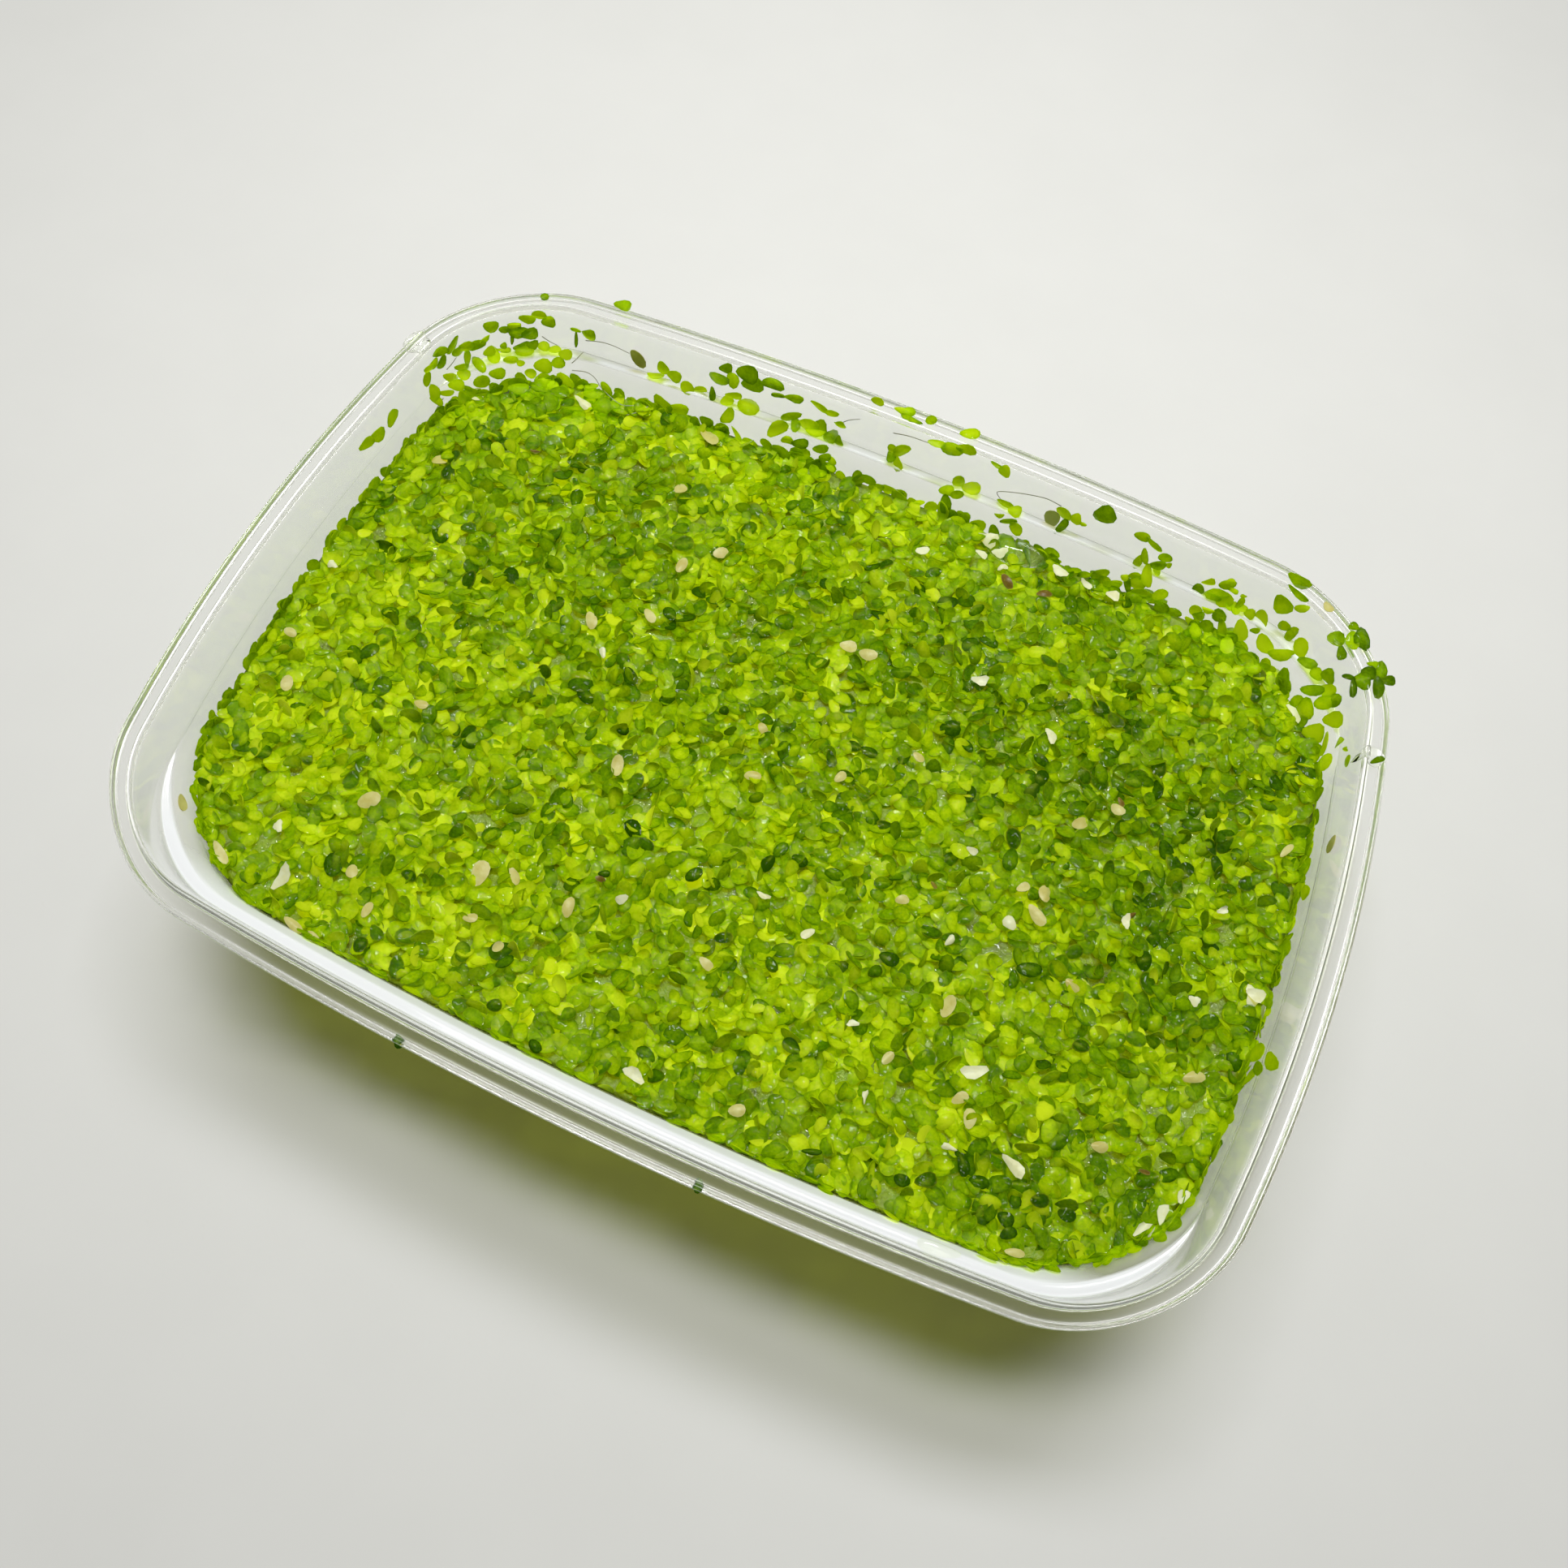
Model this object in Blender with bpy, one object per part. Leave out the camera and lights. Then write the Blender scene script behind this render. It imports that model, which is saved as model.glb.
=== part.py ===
"""Duckweed in a clear food tub: the tub, its water, the floating mat and the fronds stuck to the walls.

Metres, +Z up. The origin is the middle of the tub's flat base, +X runs along its long side,
and the side that faces +Y is called the far side.
"""

import math
import random

import bmesh
import bpy
from mathutils import Matrix, Vector
from mathutils.geometry import delaunay_2d_cdt

MM = 0.001

# Driving dimensions
TUB_LENGTH = 179 * MM
TUB_WIDTH = 130 * MM
TUB_HEIGHT = 50 * MM
END_BOW = 7 * MM
SIDE_BOW = 5 * MM
CORNER_RADIUS = 20 * MM
LEAST_RADIUS = 4 * MM
SHEET = 0.6 * MM
CHANNEL_DEPTH = 0.9 * MM
LIP_DROP = 2.2 * MM
LEDGE_HEIGHT = 38.1 * MM
WATER_LEVEL = 35 * MM
MAT_BOTTOM = 31 * MM
MAT_RELIEF = 1.5 * MM
MAT_INSET = 5.1 * MM
FROND_PITCH = 3.8 * MM
FROND_THICKNESS = 0.7 * MM
THICKNESS_STEP = 0.22
DOME_TOP_SHARE = 0.62
RIM_FROND_THICKNESS = 0.6 * MM
GAP = 0.3 * MM
WALL_STAND_OFF = 0.5 * MM
FROND_REACH = 1.8 * MM
WALL_DRAFT = 0.053

# How finely the round forms are divided
CORNER_STEPS = 6
SIDE_STEPS = 6
FINE_CORNER_STEPS = 12
FINE_SIDE_STEPS = 16
FROND_SIDES = 7

# The mat's top: the chosen share of its relief at each point, and how unevenly the points are spaced
RELIEF_SHARES = (0.15, 0.4, 0.6, 0.8, 1.0)
SPACING_CHANCE = 0.25
EDGE_CLEARANCE = 0.45 * FROND_PITCH
ROW_SPACING = math.sqrt(3) / 2
MAT_SEED = 11

HALF_LENGTH = TUB_LENGTH / 2 - END_BOW
HALF_WIDTH = TUB_WIDTH / 2 - SIDE_BOW

# The inner wall, from the rim's ridge to the base: (distance inside the rim's outer edge, height)
WALL = [
    (3.55 * MM, 49.2 * MM),
    (3.65 * MM, LEDGE_HEIGHT + 0.6 * MM),
    (4.0 * MM, LEDGE_HEIGHT),
    (5.9 * MM, 4.5 * MM),
    (7.3 * MM, 1.6 * MM),
    (10.5 * MM, SHEET),
]

# The rim, from the lip's lower edge over the outer bead, the channel and the inner ridge
RIM = [
    (0.0, TUB_HEIGHT - LIP_DROP),
    (0.0, TUB_HEIGHT - 0.4 * MM),
    (0.6 * MM, TUB_HEIGHT),
    (1.0 * MM, TUB_HEIGHT - 0.2 * MM),
    (1.3 * MM, TUB_HEIGHT - CHANNEL_DEPTH),
    (2.65 * MM, TUB_HEIGHT - CHANNEL_DEPTH),
    (2.9 * MM, TUB_HEIGHT - 0.25 * MM),
    (3.2 * MM, TUB_HEIGHT - 0.1 * MM),
]

# The outside, from the base back up to the lip's inner face
OUTSIDE = [
    (9.3 * MM, 0.0),
    (6.9 * MM, 1.1 * MM),
    (5.3 * MM, 4.4 * MM),
    (3.4 * MM, LEDGE_HEIGHT - 0.3 * MM),
    (3.05 * MM, LEDGE_HEIGHT + 0.4 * MM),
    (2.95 * MM, TUB_HEIGHT - CHANNEL_DEPTH - SHEET),
    (SHEET, TUB_HEIGHT - CHANNEL_DEPTH - SHEET),
    (SHEET, TUB_HEIGHT - LIP_DROP),
]

# The edge of the floating mat, in millimetres, anticlockwise from the right end
MAT_EDGE = [
    (84.6, 7), (85, 16), (83.5, 29), (82, 37), (80, 42), (76, 47.5), (69, 51.5), (60.5, 52.5),
    (54, 54.5), (42, 54.5), (35, 55.5), (28.5, 55), (21, 57.5), (14, 57.5), (4, 58), (-2, 57),
    (-8, 57), (-17, 57.5), (-25.5, 57), (-41, 56), (-49, 55), (-56, 53), (-66.5, 50), (-71, 45),
    (-75.5, 42.5), (-78.5, 36), (-79.5, 30), (-82, 25), (-84.5, 17.5), (-83.8, 12), (-85, 6),
    (-84.5, 0), (-84, -6.5), (-84.6, -12), (-84, -20.5), (-83, -30), (-81, -38.5), (-80, -41.5),
    (-77.5, -44.5), (-73.5, -48.5), (-68, -52), (-62.5, -54), (-54.5, -56), (-46.5, -57),
    (-39, -57.5), (-24, -57), (-13, -57.5), (0, -57.5), (12.5, -57), (32.5, -56), (44.5, -55.5),
    (56.5, -55), (62.5, -54.5), (71.5, -52.5), (77.5, -48), (80.5, -43.5), (80.5, -36),
    (83, -26), (83.5, -19), (84.2, -10),
]

# Fronds stuck to the wall, joined in clusters. Each frond is
# (millimetres along the wall, height, length, width, turn in degrees), where the way along starts
# at the middle of the far side and grows towards the right end.
WALL_CLUSTERS = {
    "corner_fronds_upper": [
        (-94, 45.2, 3.8, 2.2, -105), (-92.6, 46.6, 3.6, 2.2, -35), (-90.2, 47, 3.6, 2.2, -15),
        (-87.4, 46.6, 3.8, 2.6, -30), (-85.6, 44, 4.6, 2.4, -95), (-83.6, 45.4, 3.6, 2.4, 0),
    ],
    "corner_fronds_lower": [
        (-93.4, 41.4, 3.8, 2.6, -88), (-90.8, 40.6, 4.4, 2.4, -30), (-88, 38.8, 4, 2.6, -30),
        (-86.4, 39.6, 3.4, 2.4, -20),
    ],
    "corner_fronds_dark": [
        (-79, 47.4, 3.4, 2.2, -10), (-76, 46.4, 4.2, 3.2, -10), (-72.6, 47.4, 4, 2.4, -5),
        (-73, 44.4, 4, 3.2, 0), (-74.4, 42.4, 3.6, 2.8, 15), (-75, 40.2, 3.8, 2.8, 0),
    ],
    "corner_fronds_bright": [
        (-80.4, 40.2, 3.8, 2.6, -85), (-81.8, 39.6, 4.2, 2.6, -60), (-80.4, 38, 3.8, 2.6, -20),
    ],
    "far_left_fronds": [
        (-71, 39.6, 3, 2.6, 0), (-69, 38, 3.6, 2.8, -30), (-71.6, 36.8, 3.6, 2.8, 0),
    ],
    "left_end_fronds": [
        (-104, 44.8, 3.4, 3, 50), (-106.6, 44, 3.4, 2.6, 20), (-109.4, 44.2, 3.6, 2.4, -10),
    ],
    "rooted_frond": [(-62, 45.4, 3, 2.6, 8)],
    "bleached_frond_far": [(-53, 43, 3.7, 2.4, -60)],
    "three_lobed_frond": [
        (-48, 42, 3.4, 2.4, -75), (-48.8, 40.2, 3.2, 2.4, 0), (-46, 41.4, 3.2, 2.8, -20),
    ],
    "bright_pair": [(-43.4, 40, 3, 2.4, -50), (-41.6, 39.8, 3, 1.8, 20)],
    "far_edge_pair": [(-48.2, 36.8, 4, 2.2, -10), (-45.4, 36.8, 3.8, 2.2, 20)],
    "rolled_clump": [
        (-37.4, 45.4, 4.4, 4, 20), (-34.4, 46, 4, 4.8, 20), (-31.4, 46.8, 5.6, 3.6, 8),
        (-27.4, 47, 5.4, 3, 12), (-23.8, 46.8, 3.6, 2, 10),
    ],
    "clump_fronds": [
        (-35, 41.2, 3.4, 2.2, 25), (-34.8, 39.2, 3.2, 2.8, 60), (-32, 39.2, 4.2, 3.6, 0),
        (-35.6, 37, 4, 2.4, 40),
    ],
    "thin_fronds": [(-18.6, 46, 3.6, 1.8, -8), (-16.2, 46.1, 3, 1.7, 5)],
    "far_cluster_upper": [
        (-25.4, 38.2, 4.2, 3, 45), (-23.4, 40.6, 5, 2.2, 25), (-20.4, 40, 4.4, 3.6, 25),
        (-17.6, 40, 3.6, 3.4, 60), (-20.4, 38, 4.4, 2.8, 20),
    ],
    "small_frond_with_root": [(-14.2, 43.5, 2.4, 2.2, 25)],
    "four_frond_star": [
        (8.4, 39.8, 3.6, 2.4, -80), (7, 38, 3, 2.6, 30), (10.6, 38.8, 3.4, 2.6, 20),
        (8.6, 37.2, 3, 2.4, -80),
    ],
    "mid_far_fronds": [
        (-3, 42.6, 3.4, 2.4, 50), (-2.8, 40.2, 3.6, 2.4, -70), (-4.2, 40.2, 3, 2.2, -80),
    ],
    "upper_far_fronds": [
        (3.4, 47.6, 3.2, 2.2, 0), (5.8, 47.2, 3.8, 2.4, -10), (8.4, 47.4, 3.4, 2, 10),
    ],
    "olive_pair": [(14.4, 47.6, 3, 1.6, 0), (16, 47.4, 2.4, 2, 0)],
    "far_right_trio": [
        (17.4, 39, 2.8, 1.8, -5), (19.2, 38, 3, 2.4, 25), (20.4, 36.4, 3.2, 2.2, -50),
    ],
    "half_bleached_fronds": [
        (26.2, 41.4, 3.2, 3, 35), (28, 42.2, 3.6, 2.6, -30), (29.8, 43, 2.6, 2.2, 35),
    ],
    "dark_oval_frond": [(34, 47.4, 4.4, 2.6, 0)],
    "frond_chain": [
        (41.2, 46.2, 3, 1.8, 14), (43.4, 45.6, 3.4, 1.8, -30), (45.4, 44.2, 3, 2.6, 35),
        (45.4, 42.4, 3.2, 2, 43),
    ],
    "frond_group": [
        (43.2, 39.2, 3.8, 2.2, 85), (44.2, 37.8, 3.6, 3, 35), (45.6, 38.8, 4.2, 2.4, -70),
        (47, 37.4, 3.8, 2.6, 50),
    ],
    "right_far_cluster": [
        (53.6, 40.2, 2.8, 2.4, 39), (56, 40.6, 4.4, 3.8, 39), (57, 43.4, 3.2, 2.4, 39),
        (56.2, 38.6, 4, 2.8, 35), (58.2, 38.2, 3.4, 2.8, 38),
    ],
    "right_far_small": [(60.8, 40.2, 3.4, 1.8, 85), (62.6, 39.8, 2.6, 2.6, 41)],
    "right_corner_top": [(66.2, 46.6, 3.4, 2.8, -35)],
    "right_corner_bright": [
        (67.8, 37.6, 3.6, 3.2, -30), (70.8, 38.2, 4.2, 2.8, 43), (70.6, 41, 3.8, 2, 85),
        (72, 40.8, 3.8, 2.8, -57),
    ],
    "right_corner_cluster": [
        (76, 39.2, 4, 2.4, 36), (78.4, 39.8, 3.6, 2.6, 55), (80, 42, 3.2, 2.8, -45),
        (80.4, 38.4, 4.4, 2.8, 50), (83, 41, 4.2, 2.8, 60), (83, 38, 3.8, 2.6, 57),
    ],
    "right_end_fronds": [
        (87.2, 40.6, 4.2, 2.8, 60), (89, 38.4, 4.2, 3.4, 60), (91, 38.2, 4.2, 3.4, 60),
        (86.4, 37.6, 3.6, 2.6, 61),
    ],
    "right_end_small": [(96.7, 45, 2.6, 1.8, 60)],
    "right_edge_bulge": [(143.8, 37.4, 4.2, 3, 20), (147, 37.6, 4, 3, 0)],
    "bleached_frond_right": [(110, 43.5, 2.8, 2.2, 60)],
}

# Fronds lying on the rim: (millimetres along it, distance inside its edge, length, width, turn, lift)
RIM_CLUSTERS = {
    "rim_fronds_inner": [
        (80.6, 4.3, 3, 2.4, -45, 0.3), (81, 2.4, 3.4, 2.6, 60, 0.45), (81.2, 1.1, 3, 2.2, 20, 0.35),
    ],
    "rim_fronds_outer": [
        (87.8, 4.6, 3.4, 2, 30, 0.3), (88.4, 3.2, 3.4, 2.6, 70, 0.45),
        (89.4, 1.7, 3.6, 2.4, 30, 0.35), (87.6, 1.2, 2.8, 2.2, 0, 0.4),
    ],
    "rim_frond_dark": [(67.2, 1.95, 4.6, 1.2, 0, -0.45)],
    "rim_frond_green": [(-3.6, 2, 3.4, 1.2, 0, -0.45)],
    "rim_frond_small": [(-8.8, 2, 1.8, 1.2, 0, -0.45)],
}

# Water drops: in the channel (along, inset, length), and one held on the near wall
CHANNEL_DROPS = {"rim_drop_left": (-97.4, 1.97, 5.6), "rim_drop_right": (102.8, 1.97, 4.2)}
CHANNEL_DROP_WIDTH = 0.9
CHANNEL_DROP_HEIGHT = 0.5
WALL_DROP = (224.5, 41.5, 5.6, 1.6)
WALL_DROP_HEIGHT = 0.6


def clear_scene():
    for old in list(bpy.data.objects):
        bpy.data.objects.remove(old)


def new_collection(name):
    collection = bpy.data.collections.new(name)
    bpy.context.scene.collection.children.link(collection)
    return collection


def material(name, colour, roughness, transmission=0.0):
    made = bpy.data.materials.new(name)
    made.use_nodes = True
    shader = made.node_tree.nodes["Principled BSDF"]
    shader.inputs["Base Color"].default_value = (*colour, 1)
    shader.inputs["Roughness"].default_value = roughness
    shader.inputs["Metallic"].default_value = 0.0
    shader.inputs["Transmission Weight"].default_value = transmission
    return made


def add_object(name, mesh, collection, finish):
    mesh.name = name
    made = bpy.data.objects.new(name, mesh)
    if finish:
        mesh.materials.clear()
        mesh.materials.append(finish)
    collection.objects.link(made)
    return made


def outline(inset, corner_steps=CORNER_STEPS, side_steps=SIDE_STEPS):
    """Points of the tub's plan this far inside its rim, clockwise from the middle of the far side."""
    half_x = HALF_LENGTH - inset
    half_y = HALF_WIDTH - inset
    radius = max(CORNER_RADIUS - inset, LEAST_RADIUS)
    corners = [(1, 1, 90), (1, -1, 0), (-1, -1, -90), (-1, 1, 180)]
    points = [Vector((0, half_y))]
    for side_x, side_y, start in corners:
        middle = Vector((side_x * (half_x - radius), side_y * (half_y - radius)))
        arc = []
        for step in range(corner_steps + 1):
            angle = math.radians(start - 90 * step / corner_steps)
            arc.append(middle + radius * Vector((math.cos(angle), math.sin(angle))))
        points += straight(points[-1], arc[0], side_steps)[1:-1] + arc
    points += straight(points[-1], points[0], side_steps)[1:-1]
    return [bowed(point) for point in points]


def straight(start, end, most_steps):
    """Points from start to end: a half side gets half as many steps as a whole one."""
    whole = (end - start).length > HALF_WIDTH
    steps = most_steps if whole else (most_steps + 1) // 2
    return [start.lerp(end, step / steps) for step in range(steps + 1)]


def bowed(point):
    """The point pushed outwards, most at the middle of each side and not at all at its ends."""
    x = point.x * (1 + END_BOW / HALF_LENGTH * (1 - (point.y / HALF_WIDTH) ** 2))
    y = point.y * (1 + SIDE_BOW / HALF_WIDTH * (1 - (point.x / HALF_LENGTH) ** 2))
    return Vector((x, y))


def add_ring(mesh, inset, height):
    return [mesh.verts.new((point.x, point.y, height)) for point in outline(inset)]


def loft(mesh, rings, closed=False):
    """Faces between each ring and the next, and from the last back to the first if closed."""
    count = len(rings[0])
    pairs = list(zip(rings, rings[1:]))
    if closed:
        pairs.append((rings[-1], rings[0]))
    for lower, upper in pairs:
        for i in range(count):
            j = (i + 1) % count
            mesh.faces.new((lower[i], lower[j], upper[j], upper[i]))


def finished_mesh(mesh, name):
    bmesh.ops.recalc_face_normals(mesh, faces=mesh.faces)
    data = bpy.data.meshes.new(name)
    mesh.to_mesh(data)
    mesh.free()
    return data


def make_tub(collection, finish):
    """A thin sheet wrapped from the lip over the rim, down the wall and round under the base."""
    mesh = bmesh.new()
    inner = [add_ring(mesh, inset, height) for inset, height in RIM + WALL]
    outer = [add_ring(mesh, inset, height) for inset, height in OUTSIDE]
    loft(mesh, inner)
    loft(mesh, outer)
    loft(mesh, [outer[-1], inner[0]])
    mesh.faces.new(inner[-1])
    mesh.faces.new(outer[0])
    tub = add_object("tub", finished_mesh(mesh, "tub"), collection, finish)
    tub.data.shade_smooth()
    tub.data.set_sharp_from_angle(angle=math.radians(40))
    return tub


def wall_inset(height):
    """How far inside the rim's edge the inner wall is at this height."""
    for (high_inset, high), (low_inset, low) in zip(WALL, WALL[1:]):
        if height >= low:
            share = min(max((high - height) / (high - low), 0), 1)
            return high_inset + (low_inset - high_inset) * share
    return WALL[-1][0]


def along_outline(inset, distance):
    """The point and the direction at this distance along the plan, from the far side's middle."""
    points = outline(inset, FINE_CORNER_STEPS, FINE_SIDE_STEPS)
    lengths = [(b - a).length for a, b in zip(points, points[1:] + points[:1])]
    left = distance % sum(lengths)
    for i, length in enumerate(lengths):
        if left <= length:
            start = points[i]
            way = (points[(i + 1) % len(points)] - start) / length
            return start + way * left, way
        left -= length
    return points[0], (points[1] - points[0]).normalized()


def wall_matrix(along, height):
    """A frame just off the inner wall: X along it, Y up it, Z out of it into the tub."""
    point, way = along_outline(wall_inset(height - FROND_REACH), along)
    tangent = Vector((way.x, way.y, 0))
    upwards = Vector((-way.y * WALL_DRAFT, way.x * WALL_DRAFT, 1)).normalized()
    normal = tangent.cross(upwards)
    place = Vector((point.x, point.y, height)) + normal * WALL_STAND_OFF
    return Matrix.LocRotScale(place, Matrix((tangent, upwards, normal)).transposed(), None)


def rim_matrix(along, inset, lift):
    """A frame on top of the rim: X along it, Y towards its edge, Z up."""
    point, way = along_outline(inset, along)
    tangent = Vector((way.x, way.y, 0))
    outwards = Vector((-way.y, way.x, 0))
    place = Vector((point.x, point.y, TUB_HEIGHT + lift))
    turn = Matrix((tangent, outwards, Vector((0, 0, 1)))).transposed()
    return Matrix.LocRotScale(place, turn, None)


def frond_mesh(frame, length, width, turn, thickness):
    """One frond as a low oval dome with a flat underside, lying in the frame's XY plane."""
    mesh = bmesh.new()
    bmesh.ops.create_cone(
        mesh,
        cap_ends=True,
        segments=FROND_SIDES,
        radius1=1.0,
        radius2=DOME_TOP_SHARE,
        depth=1.0,
    )
    shape = (
        frame
        @ Matrix.Rotation(math.radians(turn), 4, "Z")
        @ Matrix.Diagonal((length / 2, width / 2, thickness, 1))
        @ Matrix.Translation((0, 0, 0.5))
    )
    bmesh.ops.transform(mesh, matrix=shape, verts=mesh.verts)
    return finished_mesh(mesh, "frond")


def fused(name, meshes, collection, helpers, finish):
    """One object from overlapping meshes, joined by Boolean unions."""
    first = add_object(name, meshes[0], collection, finish)
    for other in meshes[1:]:
        helper = add_object(name + "_part", other, helpers, None)
        helper.hide_render = True
        helper.display_type = "WIRE"
        union = first.modifiers.new("union", "BOOLEAN")
        union.operation = "UNION"
        union.solver = "EXACT"
        union.object = helper
    return first


def make_wall_cluster(name, fronds, collection, helpers, finish):
    meshes = []
    for count, (along, height, length, width, turn) in enumerate(fronds):
        frame = wall_matrix(along * MM, height * MM)
        thickness = FROND_THICKNESS * (1 + THICKNESS_STEP * (count % 3))
        meshes.append(frond_mesh(frame, length * MM, width * MM, turn, thickness))
    return fused(name, meshes, collection, helpers, finish)


def make_rim_cluster(name, fronds, collection, helpers, finish):
    meshes = []
    for along, inset, length, width, turn, lift in fronds:
        frame = rim_matrix(along * MM, inset * MM, lift * MM)
        size = (length * MM, width * MM)
        meshes.append(frond_mesh(frame, *size, turn, RIM_FROND_THICKNESS))
    return fused(name, meshes, collection, helpers, finish)


def pushed_out(points, distance):
    """A closed line of plan points moved this far outwards along their bisectors."""
    moved = []
    count = len(points)
    for i, point in enumerate(points):
        before = (point - points[i - 1]).normalized()
        after = (points[(i + 1) % count] - point).normalized()
        side = Vector((before.y + after.y, -before.x - after.x)).normalized()
        lean = max(side.dot(Vector((after.y, -after.x))), 0.5)
        moved.append(point + side * distance / lean)
    return moved


def mat_edge():
    """The mat's edge, drawn in wherever it would come nearer to the wall than its inset."""
    limit = outline(MAT_INSET)
    edge = []
    for x, y in MAT_EDGE:
        spot = Vector((x * MM, y * MM))
        while not inside(spot, limit):
            spot *= 0.998
        edge.append(spot)
    return edge


def inside(point, edge):
    """Whether the point is within the closed edge."""
    found = False
    for a, b in zip(edge, edge[1:] + edge[:1]):
        if (a.y > point.y) != (b.y > point.y):
            if point.x < a.x + (point.y - a.y) / (b.y - a.y) * (b.x - a.x):
                found = not found
    return found


def make_mat(collection, finish):
    """The floating mat: a rough top with a high or low point for each frond, and a flat underside."""
    chance = random.Random(MAT_SEED)
    edge = mat_edge()
    inner_edge = pushed_out(edge, -EDGE_CLEARANCE)
    points = list(edge)
    rows = int(TUB_WIDTH / FROND_PITCH / ROW_SPACING) + 1
    columns = int(TUB_LENGTH / FROND_PITCH) + 1
    for row in range(-rows // 2, rows // 2 + 1):
        for column in range(-columns // 2, columns // 2 + 1):
            x = column + 0.5 * (row % 2) + chance.uniform(-SPACING_CHANCE, SPACING_CHANCE)
            y = row * ROW_SPACING + chance.uniform(-SPACING_CHANCE, SPACING_CHANCE)
            spot = Vector((x, y)) * FROND_PITCH
            if inside(spot, inner_edge):
                points.append(spot)
    borders = [(i, (i + 1) % len(edge)) for i in range(len(edge))]
    flat, _, faces, _, _, _ = delaunay_2d_cdt(points, borders, [], 1, 1e-6)
    mesh = bmesh.new()
    top = []
    for i, spot in enumerate(flat):
        rise = 0.0 if i < len(edge) else chance.choice(RELIEF_SHARES)
        top.append(mesh.verts.new((spot.x, spot.y, WATER_LEVEL + MAT_RELIEF * rise)))
    for face in faces:
        mesh.faces.new([top[i] for i in face])
    rim = [link for link in mesh.edges if link.is_boundary]
    lowered = bmesh.ops.extrude_edge_only(mesh, edges=rim)["geom"]
    for vertex in lowered:
        if isinstance(vertex, bmesh.types.BMVert):
            vertex.co.z = MAT_BOTTOM
    bmesh.ops.holes_fill(mesh, edges=[link for link in mesh.edges if link.is_boundary])
    return add_object("duckweed_mat", finished_mesh(mesh, "duckweed_mat"), collection, finish)


def make_water(collection, helpers, finish):
    """The water: it fills the tub to its level, with a pocket where the mat floats in it."""
    mesh = bmesh.new()
    levels = [
        (10.4 * MM, SHEET + GAP),
        (7.75 * MM, 1.85 * MM),
        (6.25 * MM, 4.6 * MM),
        (4.5 * MM, WATER_LEVEL),
    ]
    rings = [add_ring(mesh, inset, height) for inset, height in levels]
    loft(mesh, rings)
    mesh.faces.new(rings[0])
    mesh.faces.new(rings[-1])
    water = add_object("water", finished_mesh(mesh, "water"), collection, finish)

    pocket = bmesh.new()
    edge = pushed_out(mat_edge(), GAP)
    lower = [pocket.verts.new((spot.x, spot.y, MAT_BOTTOM - GAP)) for spot in edge]
    upper = [pocket.verts.new((spot.x, spot.y, WATER_LEVEL + 2 * MM)) for spot in edge]
    loft(pocket, [lower, upper])
    pocket.faces.new(lower)
    pocket.faces.new(upper)
    cutter = add_object("mat_pocket", finished_mesh(pocket, "mat_pocket"), helpers, None)
    cutter.hide_render = True
    cutter.display_type = "WIRE"
    cut = water.modifiers.new("pocket", "BOOLEAN")
    cut.operation = "DIFFERENCE"
    cut.solver = "EXACT"
    cut.object = cutter
    return water


def make_drops(collection, finish):
    lift = -(CHANNEL_DEPTH - GAP)
    for name, (along, inset, length) in CHANNEL_DROPS.items():
        frame = rim_matrix(along * MM, inset * MM, lift)
        size = (length * MM, CHANNEL_DROP_WIDTH * MM)
        mesh = frond_mesh(frame, *size, 0, CHANNEL_DROP_HEIGHT * MM)
        add_object(name, mesh, collection, finish)
    along, height, length, width = WALL_DROP
    frame = wall_matrix(along * MM, height * MM)
    mesh = frond_mesh(frame, length * MM, width * MM, 0, WALL_DROP_HEIGHT * MM)
    add_object("wall_drop_near", mesh, collection, finish)


def main():
    clear_scene()
    parts = new_collection("duckweed")
    helpers = new_collection("cutters")
    helpers.hide_render = True
    clear_plastic = material("clear_plastic", (0.93, 0.94, 0.92), 0.15, 1.0)
    water_finish = material("pond_water", (0.86, 0.9, 0.7), 0.02, 1.0)
    leaf = material("duckweed_leaf", (0.26, 0.5, 0.02), 0.3)
    dark_leaf = material("duckweed_leaf_dark", (0.1, 0.3, 0.02), 0.3)
    bleached = material("duckweed_leaf_bleached", (0.8, 0.76, 0.52), 0.4)

    make_tub(parts, clear_plastic)
    make_water(parts, helpers, water_finish)
    make_mat(parts, leaf)
    for name, fronds in WALL_CLUSTERS.items():
        finish = bleached if "bleached_frond" in name else dark_leaf if "dark" in name else leaf
        make_wall_cluster(name, fronds, parts, helpers, finish)
    for name, fronds in RIM_CLUSTERS.items():
        make_rim_cluster(name, fronds, parts, helpers, leaf)
    make_drops(parts, water_finish)


main()
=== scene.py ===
"""Duckweed in a clear plastic tub: the looks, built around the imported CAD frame."""

from math import cos, pi, radians, sin

import bpy
import numpy as np
from mathutils import Matrix, Vector
from mathutils.bvhtree import BVHTree


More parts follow.
